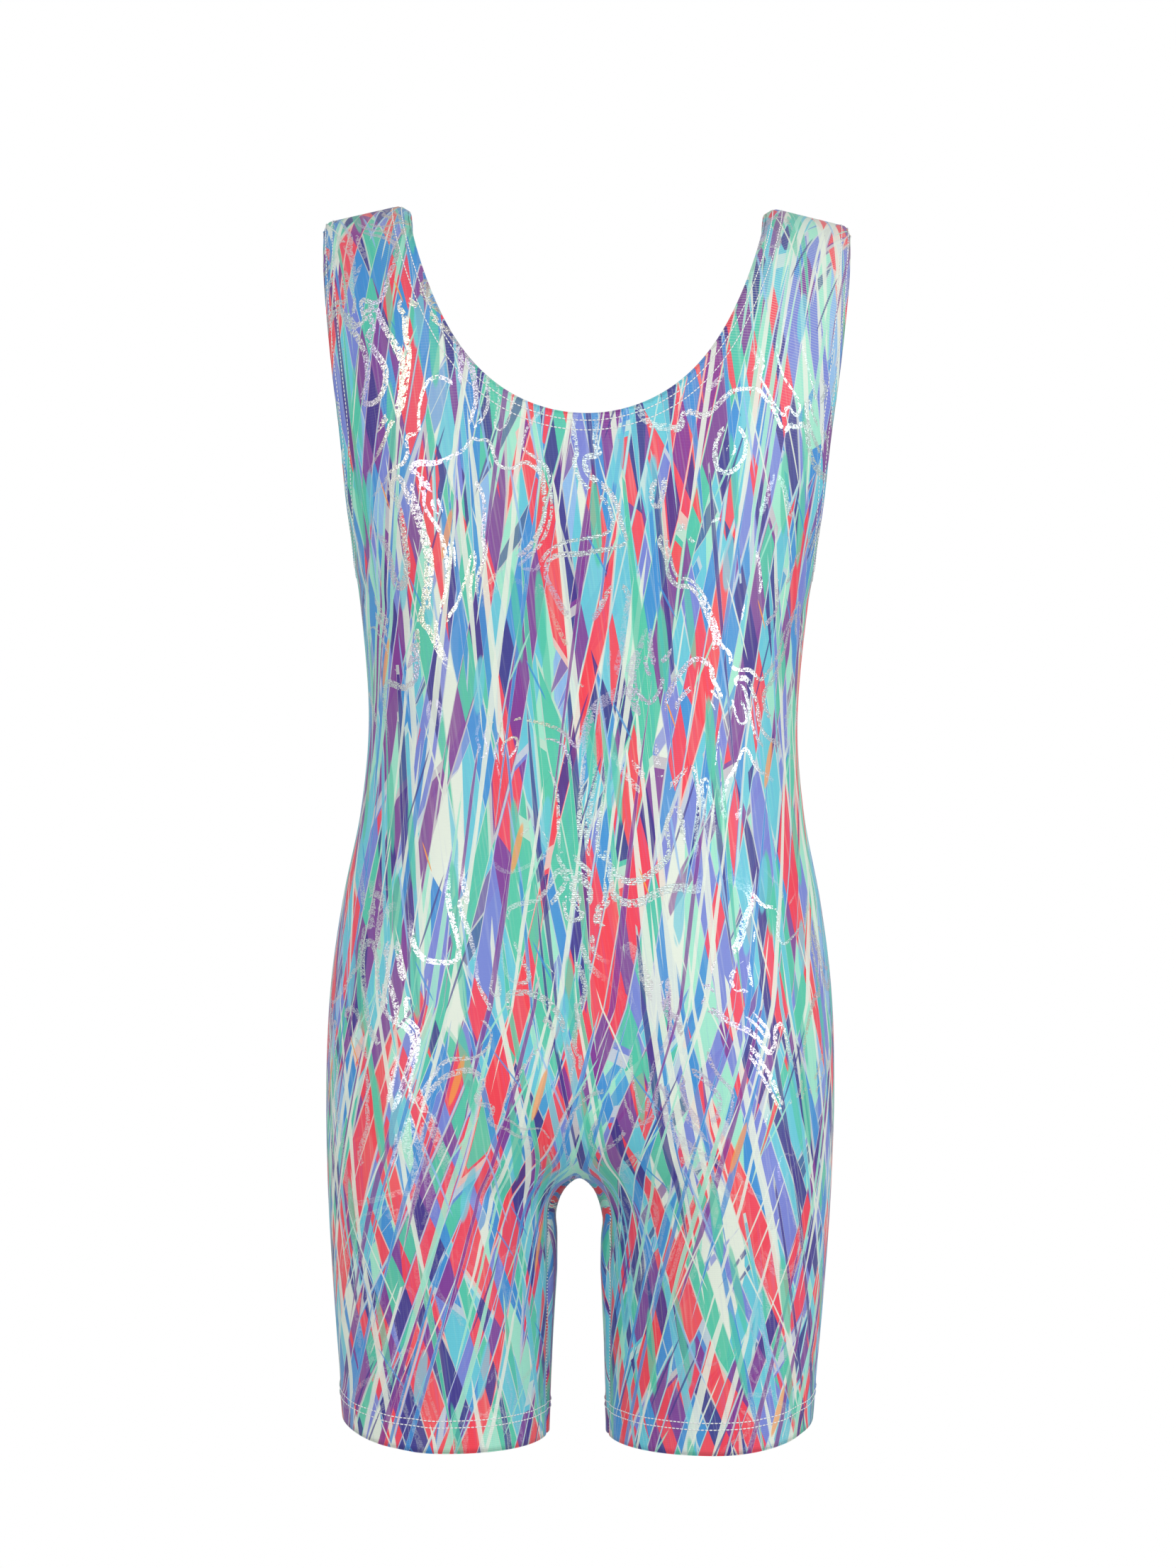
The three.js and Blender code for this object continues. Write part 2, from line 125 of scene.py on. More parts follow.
# Level sections of the body: half width at the side seam, depth of the front and back, and the
# distance from the centre line to the deepest line
SECTION_KEYS = ("z", "half", "front", "back", "crown")
SECTIONS = dict(zip(SECTION_KEYS, np.array([
    (-682, 132.2, 60, 62, 74),
    (-602, 138.2, 69, 78, 75),
    (-540, 141.7, 78, 94, 72),
    (-482, 142.8, 82, 98, 50),
    (-434, 140.8, 83, 95, 25),
    (-386, 134.4, 80, 85, 0),
    (-338, 125.0, 76, 73, 0),
    (-290, 120.8, 75, 69, 0),
    (-242, 123.6, 79, 75, 0),
    (-197, 130.0, 84, 83, 0),
    (-158, 140.5, 86, 86, 0),
    (-110, 150.0, 84, 86, 0),
    (-50, 157.5, 82, 84, 0),
    (5, 162.0, 82, 82, 0),
], dtype=float).T))
SQUARENESS = 0.04

# Points that lines are worked out from: a row's on its section and on the curve to the inseam, half of a
# side's neck edge, and each part of its armhole edge
SECTION_POINTS = 80
INNER_POINTS = 49
NECK_POINTS = 60
ARMHOLE_POINTS = 50

# Handles of the curve that leads a row from the deepest line to the inseam
SEAM_HANDLE = {FRONT: 24.0, BACK: 44.0}
SEAM_HANDLE_HEM = {FRONT: 30.0, BACK: 36.0}
CROWN_HANDLE_HEM = {FRONT: 32.0, BACK: 33.0}
CROWN_HANDLE_LEG = {FRONT: 24.0, BACK: 36.0}
CROWN_HANDLE_APEX = {FRONT: 24.0, BACK: 42.0}
SEAM_TANGENT = {"inward": 0.39, "backward": 0.92, "downward": 0.35}
SEAM_INWARD_HEM = 0.12

# How far the back stands into the gap between the legs, by the height of the inseam, the distance from
# the inseam at which it does so most, and the easing passes that follow
GAP_FILL = {
    "z": (-682, -631, -592, -574, -561, -552, -544, -539.3),
    "depth": (0.7, 1.3, 2.1, 3.9, 4.9, 4.6, 4.6, 7.2),
}
GAP_FILL_REACH = 14.0
GAP_FILL_PASSES = 10

# The legs and crotch are laid flat from this height down. The crotch is eased into a soft saddle, fully
# within a distance of its middle and not at all past another
FLAT_BELOW = -400.0
FLAT_PASSES = 700
FLAT_PUSH = 0.22
SADDLE = {"y": 20.0, "z": -525.0, "full": 45.0, "none": 115.0, "leg_none": -595.0,
          "leg_full": -552.0, "passes": 170, "strength": 0.6}

# Turned edges: widths, distances of the stitch rows from the edge, spacing of points, and the places
# that the edges of the openings turn towards
EDGE_TURN = 9.0
HEM_TURN = 18.0
EDGE_STITCH_ROWS = (3.4, 8.6)
HEM_STITCH_ROWS = (13.9, 17.6)
EDGE_STEP = 2.6
NECK_CENTRE = (0, 0, 60)
ARMHOLE_CENTRE = (170, 0, -90)

# Stitches: height over the cloth, share of the pitch, and thickness and bow as shares of their width
STITCH_HEIGHT = 0.12
STITCH_SHARE = 0.87
STITCH_FLAT = 0.6
STITCH_BOW = 0.2

# Thread inside the turned edges: pitch as a share of the stitches', and room left beside the cloth
LOOPER_PITCH = 1.4
LOOPER_CLEAR = 0.1

# Thread in the inseam: shares of the stitches' pitch and width, half its reach across and along the
# seam, and how deep it lies
INSEAM_PITCH = 0.8
INSEAM_WIDTH = 1.2
INSEAM_STITCH = (0.8, 0.25)
INSEAM_DEPTH = 0.75

# How far the cloth sinks towards a turned edge, on the body and at the crest of the shoulder
ROLL_DEPTH = 0.4
ROLL_DEPTH_CREST = 4.2
ROLL_WIDTH = 6.5
ROLL_DEEPENS_AT = 70.0

# Sunk seams: depth, share of the pucker, and half width
SIDE_SEAM = (0.75, 0.4, 2.6)
INSEAM = (0.9, 1.0, 2.4)
SHOULDER_SEAM = (0.6, 0.0, 2.4)
PUCKER = 0.35

# Step over the turned-up hem, and the ripple along its stitches
HEM_STEP = 0.35
HEM_RIPPLE = 0.25

# The cut is laid out with the back this far beside the front, so that their prints differ
CUT_APART = 900.0

# Soft folds: side, the fold's two ends in the cut's coordinates (across from the centre line, up),
# half width and depth; a negative depth is a trough
FOLD_BOW = 0.06
FOLD_SHARPNESS = 2.2
FOLD_KEYS = ("side", "across_1", "up_1", "across_2", "up_2", "width", "depth")
FOLDS = [dict(zip(FOLD_KEYS, row)) for row in (
    (FRONT, 14, -536, 78, -478, 13, -1.3),
    (FRONT, -12, -534, -70, -470, 15, -1.5),
    (FRONT, 26, -548, 104, -520, 12, -1.1),
    (FRONT, -24, -550, -112, -512, 13, -1.3),
    (FRONT, 30, -572, 66, -560, 10, -0.8),
    (FRONT, -34, -580, -60, -560, 10, -0.9),
    (FRONT, 158, -214, 118, -240, 11, -1.2),
    (FRONT, -156, -210, -110, -236, 12, -1.4),
    (FRONT, 150, -236, 122, -262, 10, -0.8),
    (FRONT, -110, -640, -150, -676, 11, 1.4),
    (FRONT, -84, -652, -100, -684, 9, -1.1),
    (FRONT, 118, -650, 134, -684, 10, -0.9),
    (FRONT, -52, -300, 40, -306, 14, -0.7),
    (BACK, -66, -292, 58, -288, 12, -1.7),
    (BACK, -40, -318, 70, -322, 11, -1.3),
    (BACK, -58, -266, 30, -262, 12, -1.2),
    (BACK, 10, -534, 82, -486, 14, -1.4),
    (BACK, -12, -536, -90, -492, 13, -1.2),
    (BACK, 34, -566, 118, -556, 12, -1.6),
    (BACK, -30, -562, -110, -560, 13, -1.4),
    (BACK, 152, -212, 112, -246, 12, -1.3),
    (BACK, -156, -216, -120, -240, 11, -1.0),
    (BACK, 70, -640, 64, -682, 11, -1.0),
)]

# Printed streaks, from the cloth outwards: lean from upright on the body and its growth on the
# legs, size of a cell, share of cells that are inked, strength, and ink names that they draw from
STREAK_KEYS = ("name", "lean", "leg_lean", "width", "length", "share", "strength", "inks")
STREAKS = [dict(zip(STREAK_KEYS, row)) for row in (
    ("wash", 0.04, 0.06, 15, 150, 1.0, 1.0,
     ("cream", "mint_pale", "aqua", "sky_pale", "mint_pale", "sky")),
    ("slant", -0.5, -0.2, 6.5, 62, 0.16, 0.75, ("indigo", "sky", "purple", "periwinkle")),
    ("left", 0.21, 0.15, 10.5, 150, 0.61, 0.95,
     ("indigo", "mint", "sky", "periwinkle", "aqua", "coral")),
    ("right", -0.19, -0.16, 9.5, 155, 0.59, 0.94,
     ("mint", "coral", "sky", "purple", "periwinkle", "aqua")),
    ("fine", 0.10, 0.10, 3.0, 130, 0.17, 0.85, ("mint", "cream", "sky", "indigo", "cream", "aqua")),
    ("fine_right", -0.13, -0.14, 2.6, 140, 0.15, 0.85, ("cream", "mint_pale", "sky", "purple", "cream")),
)]
CROSSING = ("left", "right")
DIAMOND_INKS = ("mint", "indigo", "coral", "coral", "purple", "indigo", "sky")
LINE_KEYS = ("lean", "leg_lean", "width", "length", "reach", "strength", "ink")
LINES = [dict(zip(LINE_KEYS, row)) for row in (
    (0.05, 0.08, 27, 210, 0.12, 0.8, "mint"),
    (-0.07, -0.08, 36, 190, 0.09, 0.75, "aqua"),
    (0.10, 0.10, 26, 300, 0.09, 0.7, "mint"),
    (0.30, 0.20, 13, 520, 0.045, 0.85, "cream"),
    (-0.16, -0.25, 11, 480, 0.05, 0.85, "cream"),
    (-0.32, -0.12, 17, 560, 0.04, 0.8, "indigo"),
    (0.17, 0.26, 15, 500, 0.05, 0.75, "sky_pale"),
    (-0.42, -0.2, 21, 420, 0.035, 0.8, "mint_pale"),
    (0.52, 0.3, 24, 380, 0.03, 0.8, "sky"),
    (0.36, 0.15, 36, 620, 0.014, 0.95, "orange"),
    (-0.22, -0.1, 60, 420, 0.035, 0.75, "orange"),
)]

# Top of the legs on the cut, in metres, below which the streaks lean more
LEG_TOP = -0.44

# Pale rims round the streaks, diamonds where two families cross, and dry brush marks
RIM_WIDTH = 0.04
RIM_STRENGTH = 0.6
DIAMOND_RIM = 0.06
DIAMOND_STRENGTH = 0.94
BRUSH_STRENGTH = 0.14

# Foil strokes follow two levels of a field. The step finds the field's slope. None are laid where it is
# nearly level or falls away steeply upwards, so no stroke is a closed ring
FOIL_LEVELS = ((0.44, 1.0), (0.57, 0.7))
FOIL_STEP = 0.0006
FOIL_LEAST_SLOPE = 7.0
FOIL_OPEN_SIDE = -0.8

# Tints of the foil, from pink through white, pale green and lilac to gold
FOIL_TINTS = (
    (0.0, (0.96, 0.72, 0.90, 1)),
    (0.38, (0.98, 0.97, 1, 1)),
    (0.47, (0.80, 0.97, 0.95, 1)),
    (0.54, (1, 1, 1, 1)),
    (0.6, (0.84, 0.76, 1, 1)),
    (0.68, (1, 0.98, 0.78, 1)),
)

# Repeats of the knit in metres: its courses, its wales, and its courses where it is stretched
COURSE = 0.0011
WALE = 0.0009
STRETCHED_COURSE = 0.0016

# How much the pale back of the knit hides the print, and the fibres and shading of the thread
REVERSE_COVER = 0.84
FIBRE_SCALE = 2600.0
THREAD_SHADE = 0.86

# Stage, in metres: floor, what the lights look at, and each softbox with its place and size
FLOOR = -0.95
AIM = (0, 0, -0.32)
AMBIENT = 0.46
LENS = 61.03
CAMERA_ASIDE = 0.003
SOFTBOXES = (
    ("softbox_right", (1.35, -0.95, -0.15), (0.5, 1.7), "key_power"),
    ("softbox_left", (-1.1, -1.15, -0.15), (0.45, 1.6), "fill_power"),
    ("softbox_front", (0.1, -1.9, 0.55), (1.2, 0.8), "front_power"),
)


# The form


def smoothstep(value, low, high):
    t = np.clip((np.asarray(value, dtype=float) - low) / (high - low), 0, 1)
    return t * t * (3 - 2 * t)


def lerp(a, b, t):
    return a + (b - a) * t


def unit(vectors):
    return vectors / np.maximum(np.linalg.norm(vectors, axis=-1, keepdims=True), 1e-9)


def path_lengths(points):
    """Distance along a path at each of its points."""
    return np.concatenate(([0], np.cumsum(np.linalg.norm(np.diff(points, axis=0), axis=1))))


def read_along(places, lengths, values):
    """Rows of values read off at distances along a path."""
    return np.stack([np.interp(places, lengths, column) for column in values.T], axis=1)


def section(key, z):
    """One size of the body's level section at heights z, as a smooth curve through the table."""
    levels, values = SECTIONS["z"], SECTIONS[key]
    steps = np.diff(levels)
    slopes = np.diff(values) / steps
    inner = (slopes[:-1] * steps[1:] + slopes[1:] * steps[:-1]) / (steps[:-1] + steps[1:])
    tangents = np.concatenate((slopes[:1], inner, slopes[-1:]))
    z = np.clip(z, levels[0], levels[-1])
    i = np.clip(np.searchsorted(levels, z) - 1, 0, len(steps) - 1)
    t = (z - levels[i]) / steps[i]
    value = (
        (2 * t**3 - 3 * t**2 + 1) * values[i]
        + (t**3 - 2 * t**2 + t) * steps[i] * tangents[i]
        + (3 * t**2 - 2 * t**3) * values[i + 1]
        + (t**3 - t**2) * steps[i] * tangents[i + 1]
    )
    return np.maximum(value, 0)


def body_point(side, reach, angle):
    """Points of the form between the side seam (angle 0) and the deepest line (a quarter turn)."""
    reach, angle = np.broadcast_arrays(np.asarray(reach, float), np.asarray(angle, float))
    bend = np.maximum(reach, 0) / SHOULDER_RISE
    level = SHOULDER_BASE + np.where(reach > 0, SHOULDER_RISE * np.sin(bend), reach)
    crown = section("crown", level)
    swell = 1 + SQUARENESS * np.sin(2 * angle) ** 2
    x = crown + (section("half", level) - crown) * np.cos(angle) * swell
    y = SIGN[side] * section(side, level) * np.cos(bend) * np.sin(angle) * swell
    fall = STRAP_FALL * np.maximum(x - STRAP_FALL_FROM, 0) * smoothstep(reach, -STRAP_FALL_HEIGHT, 0)
    return np.stack((x, y, level - fall), axis=-1)


def body_normal(side, reach, angle):
    step = 0.01
    r = np.minimum(reach, CREST_REACH - step)
    up = body_point(side, r + step, angle) - body_point(side, r - step, angle)
    turn = step / 100
    across = body_point(side, r, angle + turn) - body_point(side, r, angle - turn)
    normal = unit(np.cross(across, up) * SIGN[side])
    top = np.asarray(reach) > CREST_REACH - 1
    normal[..., 1] = np.where(top, 0, normal[..., 1])
    return unit(normal)


def hem_lift(points, outer_z):
    """How far the points of a leg row stand above level, fading out at the foot of the arch."""
    fade = 1 - smoothstep(outer_z, HEM, SEAM_FOOT)
    across = points[:, 0] - section("crown", outer_z)
    length = np.maximum(np.hypot(across, points[:, 1]), 1e-6)
    sideways = np.where(across > 0, HEM_LIFT["outer"], HEM_LIFT["inner"])
    forwards = np.where(points[:, 1] < 0, HEM_LIFT["front"], HEM_LIFT["back"])
    return fade * (sideways * (across / length) ** 2 + forwards * (points[:, 1] / length) ** 2)


def crotch_centre(side, t):
    """The centre line between the inseam's apex and the top of the crotch."""
    depth = float(section(side, CROTCH_TOP))
    if side == FRONT:
        turn = t * QUARTER
        rise = CROTCH_TOP - SEAM_APEX
        y = SEAM_Y - (SEAM_Y + depth) * math.sin(turn)
        return np.array((0, y, SEAM_APEX + rise * (1 - math.cos(turn))))
    lowest = SEAM_APEX - BACK_DIP
    rise = CROTCH_TOP - lowest
    first = -math.acos(1 - BACK_DIP / rise)
    lowest_y = (SEAM_Y - depth * math.sin(first)) / (1 - math.sin(first))
    turn = lerp(first, QUARTER, t)
    y = lowest_y + (depth - lowest_y) * math.sin(turn)
    return np.array((0, y, lowest + rise * (1 - math.cos(turn))))


def inner_end(side, zone, t, crown_point):
    """A row's inner end and the lengths and directions of the handles that lead there."""
    sign = SIGN[side]
    inward, backward, downward = SEAM_TANGENT.values()
    if zone == "leg":
        end = lerp(np.array((SEAM_X_HEM, SEAM_Y_HEM, HEM)), np.array((SEAM_X_FOOT, SEAM_Y, SEAM_FOOT)), t)
        towards = np.array((-lerp(SEAM_INWARD_HEM, inward, t), backward, 0))
        handle = sign * lerp(SEAM_HANDLE_HEM[side], SEAM_HANDLE[side], t) * towards
        return end, lerp(CROWN_HANDLE_HEM[side], CROWN_HANDLE_LEG[side], t), handle
    if zone == "arch":
        climb = t * QUARTER
        height = lerp(SEAM_FOOT, SEAM_APEX, math.sin(climb))
        end = np.array((SEAM_X_FOOT * math.cos(climb), SEAM_Y, height))
        towards = np.array((-inward * math.cos(climb), backward, -downward * math.sin(climb)))
        crown_handle = lerp(CROWN_HANDLE_LEG[side], CROWN_HANDLE_APEX[side], t)
        return end, crown_handle, sign * SEAM_HANDLE[side] * math.cos(climb) * towards
    x = crown_point[0]
    if zone == "crotch":
        crown_handle = lerp(CROWN_HANDLE_APEX[side], x / 3, t)
        return crotch_centre(side, t), crown_handle, np.array((x / 2 * t, 0, 0))
    return crown_point * (0, 1, 1), x / 3, np.array((x / 3, 0, 0))


def all_rows(step):
    """Zone, place in the zone and reach of each row, from the hem up, about a step apart."""
    spans = (
        ("leg", HEM, SEAM_FOOT, 1.0),
        ("arch", SEAM_FOOT, CROTCH_OUTER, 0.6),
        ("crotch", CROTCH_OUTER, CROTCH_TOP, 0.8),
        ("trunk", CROTCH_TOP, SHOULDER_BASE, 1.0),
        ("shoulder", SHOULDER_BASE, SHOULDER_BASE + CREST_REACH, 1.0),
    )
    rows = [("leg", 0.0, HEM - SHOULDER_BASE)]
    for zone, low, high, share in spans:
        places = np.arange(1, math.ceil((high - low) / (step * share)) + 1)
        rows += [(zone, t, lerp(low, high, t) - SHOULDER_BASE) for t in (places / len(places)).tolist()]
    return rows


def row_points(side, zone, t, reach, columns):
    """One row of the wearer's left half, evenly spaced from the side seam inwards.

    Gives the points, their section angles and how far across the cut they lie.
    """
    start = math.radians(ARMHOLE_CLEAR["angle"]) * float(
        smoothstep(reach, ARMHOLE_CLEAR["from"], ARMHOLE_CLEAR["to"]))
    angles = np.linspace(start, QUARTER, SECTION_POINTS)
    points = body_point(side, reach, angles)
    crown_point = points[-1]
    if zone != "shoulder" and (crown_point[0] > 0.5 or zone != "trunk"):
        end, crown_handle, inner_handle = inner_end(side, zone, t, crown_point)
        s = np.linspace(0, 1, INNER_POINTS + 1)[1:, None]
        controls = (crown_point, crown_point - (crown_handle, 0, 0), end + inner_handle, end)
        weights = ((1 - s) ** 3, 3 * s * (1 - s) ** 2, 3 * s**2 * (1 - s), s**3)
        points = np.concatenate((points, sum(w * c for w, c in zip(weights, controls))))
        angles = np.concatenate((angles, np.full(INNER_POINTS, QUARTER)))
    if zone == "leg":
        points = points + np.outer(hem_lift(points, reach + SHOULDER_BASE), (0, 0, 1))
    lengths = path_lengths(points)
    even = np.linspace(0, lengths[-1], columns + 1)
    across = lengths[SECTION_POINTS - 1] + crown_point[0] - even
    return read_along(even, lengths, points), np.interp(even, lengths, angles), across


class Half:
    """The wearer's left half of the front or back as a grid, from the hem up and the side in."""

    def __init__(self, side, step, columns):
        self.side = side
        rows = all_rows(step)
        made = zip(*[row_points(side, *row, columns) for row in rows])
        self.points, self.angle, self.across = [np.array(part) for part in made]
        zones, _, reach = zip(*rows)
        self.reach = np.array(reach)
        self.apex = zones.index("crotch") - 1
        self.up = self.reach[:, None] + SHOULDER_BASE + np.zeros_like(self.across)
        self.ease_saddle(SADDLE["passes"])
        if side == BACK:
            self.fill_gap()
            self.ease_saddle(GAP_FILL_PASSES)
        self.normals = self.find_normals()
        self.cut = self.lay_flat()

    def mirrored_centre(self, grid):
        """The column past the centre line, for rows that cross it."""
        past = grid[:, -2] * (-1, 1, 1)
        past[: self.apex] = grid[: self.apex, -1]
        return past

    def ease_saddle(self, passes):
        distance = np.linalg.norm(self.points - (0, SADDLE["y"], SADDLE["z"]), axis=2)
        ease = SADDLE["strength"] * (1 - smoothstep(distance, SADDLE["full"], SADDLE["none"]))
        ease *= smoothstep(self.points[..., 2], SADDLE["leg_none"], SADDLE["leg_full"])
        ease[:, 0] = 0
        ease[: self.apex + 1, -1] = 0
        ease[[0, -1]] = 0
        for _ in range(passes):
            grid = self.points
            wide = np.concatenate((grid, self.mirrored_centre(grid)[:, None]), axis=1)
            mean = (wide[:-2, 1:-1] + wide[2:, 1:-1] + wide[1:-1, :-2] + wide[1:-1, 2:]) / 4
            weight = ease[1:-1, 1:, None]
            grid[1:-1, 1:] += (mean - grid[1:-1, 1:]) * weight

    def fill_gap(self):
        """The cloth beside the inseam stands into the gap between the legs."""
        seam = self.points[: self.apex + 1, -1]
        climb = np.arccos(np.clip(seam[:, 0] / SEAM_X_FOOT, 0, 1)) * (seam[:, 2] > SEAM_FOOT)
        depth = np.interp(seam[:, 2], GAP_FILL["z"], GAP_FILL["depth"])
        push = np.stack((-np.cos(climb), np.zeros_like(climb), -np.sin(climb)), axis=1) * depth[:, None]
        distance = np.linalg.norm(self.points[:, :, None] - seam, axis=3)
        nearest = distance.argmin(axis=2)
        away = distance.min(axis=2) / GAP_FILL_REACH
        self.points += push[nearest] * (away * np.exp(1 - away))[..., None]

    def find_normals(self):
        grid = self.points
        wide = np.concatenate((grid, self.mirrored_centre(grid)[:, None]), axis=1)
        across = np.empty_like(grid)
        across[:, 1:] = wide[:, 2:] - wide[:, :-2]
        across[:, 0] = wide[:, 1] - wide[:, 0]
        up = np.gradient(grid, axis=0)
        normals = np.cross(across, up) * SIGN[self.side]
        return unit(normals)

    def lay_flat(self):
        """Places on the cut: the legs and crotch are spread flat until their lengths are kept."""
        cut = np.stack((self.across, self.up), axis=-1)
        last = cut.shape[1] - 1
        cut[self.apex:, :, 0] -= cut[self.apex:, -1:, 0] * (np.arange(last + 1) / last) ** 2
        top = int(np.searchsorted(self.reach, FLAT_BELOW - SHOULDER_BASE))
        flat, solid = cut[: top + 1], self.points[: top + 1]
        pairs = []
        for a, b in (
            (np.s_[:, :-1], np.s_[:, 1:]),
            (np.s_[:-1], np.s_[1:]),
            (np.s_[:-1, :-1], np.s_[1:, 1:]),
            (np.s_[:-1, 1:], np.s_[1:, :-1]),
        ):
            pairs.append((a, b, np.linalg.norm(solid[b] - solid[a], axis=-1)))
        for _ in range(FLAT_PASSES):
            push = np.zeros_like(flat)
            for a, b, length in pairs:
                gap = flat[b] - flat[a]
                now = np.maximum(np.linalg.norm(gap, axis=-1), 1e-6)
                share = gap * (0.5 - 0.5 * length / now)[..., None]
                push[a] += share
                push[b] -= share
            flat[:-1] += push[:-1] * FLAT_PUSH
            flat[self.apex:, -1, 0] = 0
        return cut


def share_seam_normals(front, back):
    """Front and back agree on the normal wherever they are sewn together."""
    for place in ((slice(None), 0), (-1, slice(None)), (slice(0, front.apex + 1), -1)):
        mean = unit(front.normals[place] + back.normals[place])
        front.normals[place] = mean
        back.normals[place] = mean


# Openings


def neck_across(side, turn):
    """How far out the neck edge lies, as a share of its half width."""
    return np.cos(turn) * (1 - NECK_SQUEEZE[side] * np.sin(2 * turn) - NECK_TUCK[side] * np.sin(4 * turn))


def neck_share(side, x, z):
    """Above 0 inside the neck opening and below 0 on the cloth."""
    turn = np.linspace(0, QUARTER, 200)
    edge_x = neck_across(side, turn)
    bearing = np.arctan2(np.sin(turn), edge_x)
    radius = np.hypot(np.sin(turn), edge_x)
    drop = (SHOULDER_BASE + SHOULDER_RISE - z) / NECK_DEPTH[side]
    out = np.abs(x) / NECK_HALF
    return np.interp(np.arctan2(drop, out), bearing, radius) - np.hypot(drop, out)


def armhole_width(side, reach):
    t = smoothstep(reach / CREST_REACH, 0, 1)
    return np.radians(lerp(ARMHOLE_ANGLE[side], ARMHOLE_CREST_ANGLE, t))


def armhole_share(side, reach, angle):
    lower = 1 - np.hypot(reach / ARMHOLE_LOWER, angle / math.radians(ARMHOLE_ANGLE[side]))
    return np.where(reach < 0, lower, 1 - angle / armhole_width(side, reach))


def locate(side, x, z):
    """Reach and section angle of the form's point at x and z."""
    fall = 0.0
    for _ in range(4):
        level = z + fall - SHOULDER_BASE
        reach = level if level <= 0 else SHOULDER_RISE * math.asin(min(1, level / SHOULDER_RISE))
        low, high = 0.0, QUARTER
        for _ in range(40):
            angle = (low + high) / 2
            if body_point(side, reach, angle)[0] > x:
                low = angle
            else:
                high = angle
        fall = STRAP_FALL * max(0, x - STRAP_FALL_FROM) * float(smoothstep(reach, -STRAP_FALL_HEIGHT, 0))
    return reach, angle


def neck_half(side, grow):
    """Half of the neck edge on one side, from the shoulder seam to the centre, as (reach, angle)."""
    places = []
    for turn in np.linspace(0, QUARTER, NECK_POINTS):
        x = (NECK_HALF + grow) * neck_across(side, turn)
        z = SHOULDER_BASE + SHOULDER_RISE - (NECK_DEPTH[side] + grow) * math.sin(turn)
        places.append(locate(side, max(0, x), z))
    return np.array(places)


def armhole_half(side, grow):
    """The armhole edge on one side, from the underarm to the shoulder seam, as (reach, angle)."""
    widen = math.radians(ARMHOLE_ANGLE_PER_MM * grow)
    turn = np.linspace(0, QUARTER, ARMHOLE_POINTS)
    lower_reach = UNDERARM - grow + (ARMHOLE_LOWER + grow) * (1 - np.cos(turn)) - SHOULDER_BASE
    lower_angle = (math.radians(ARMHOLE_ANGLE[side]) + widen) * np.sin(turn)
    upper_reach = np.linspace(0, CREST_REACH, ARMHOLE_POINTS)[1:]
    upper_angle = armhole_width(side, upper_reach) + widen
    return np.stack((
        np.concatenate((lower_reach, upper_reach)), np.concatenate((lower_angle, upper_angle))), axis=1)


def on_form(side, places, grow, mirror=1.0):
    """Points and normals of places a distance from an edge, with how far across and up the cut
    they lie."""
    reach, angle = places[:, 0], places[:, 1]
    flip = np.array((mirror, 1, 1))
    points = body_point(side, reach, angle)
    fine = np.linspace(0, 1, 40)
    arc = body_point(side, reach[:, None], angle[:, None] + (QUARTER - angle[:, None]) * fine)
    across = np.linalg.norm(np.diff(arc, axis=1), axis=2).sum(axis=1) * mirror
    cut = np.stack((across, reach + SHOULDER_BASE), axis=1)
    normals = body_normal(side, reach, angle)
    sunk = edge_roll(grow, reach) + sunk_seam(SHOULDER_SEAM, CREST_REACH - reach)
    points = points + normals * sunk[:, None]
    return points * flip, normals * flip, cut


def joined_loop(stretches):
    """One closed loop from stretches that meet end to start."""
    return [np.concatenate([s[k][:-1] for s in stretches]) for k in range(3)]


def neck_loop(grow):
    """A line round the neck, a distance outside its edge."""
    front, back = neck_half(FRONT, grow), neck_half(BACK, grow)
    return joined_loop((
        on_form(FRONT, front, grow),
        [part[::-1] for part in on_form(FRONT, front, grow, -1)],
        on_form(BACK, back, grow, -1),
        [part[::-1] for part in on_form(BACK, back, grow)],
    ))


def armhole_loop(grow, mirror):
    """A line round an armhole, a distance outside its edge."""
    return joined_loop((
        on_form(FRONT, armhole_half(FRONT, grow), grow, mirror),
        [part[::-1] for part in on_form(BACK, armhole_half(BACK, grow), grow, mirror)],
    ))


def even_loop(points, normals, cut, step):
    """A closed loop with its points spread about a step apart."""
    closed = [np.concatenate((part, part[:1])) for part in (points, normals, cut)]
    lengths = path_lengths(closed[0])
    count = round(lengths[-1] / step)
    even = np.arange(count) * lengths[-1] / count
    points, normals, cut = [read_along(even, lengths, part) for part in closed]
    return points, unit(normals), cut


# Relief


def edge_roll(distance, reach):
    """How far the cloth sinks towards a turned edge, most of all on the shoulders."""
    depth = lerp(ROLL_DEPTH, ROLL_DEPTH_CREST, smoothstep(reach, ROLL_DEEPENS_AT, CREST_REACH))
    return -depth * np.clip(1 - distance / ROLL_WIDTH, 0, 1.5) ** 2


def sunk_seam(sizes, distance, pucker=0.0):
    """How far the cloth sinks at a seam, unevenly where the seam puckers it."""
    depth, pucker_share, width = sizes
    return -(depth + pucker_share * pucker) * np.exp(-((distance / width) ** 2))


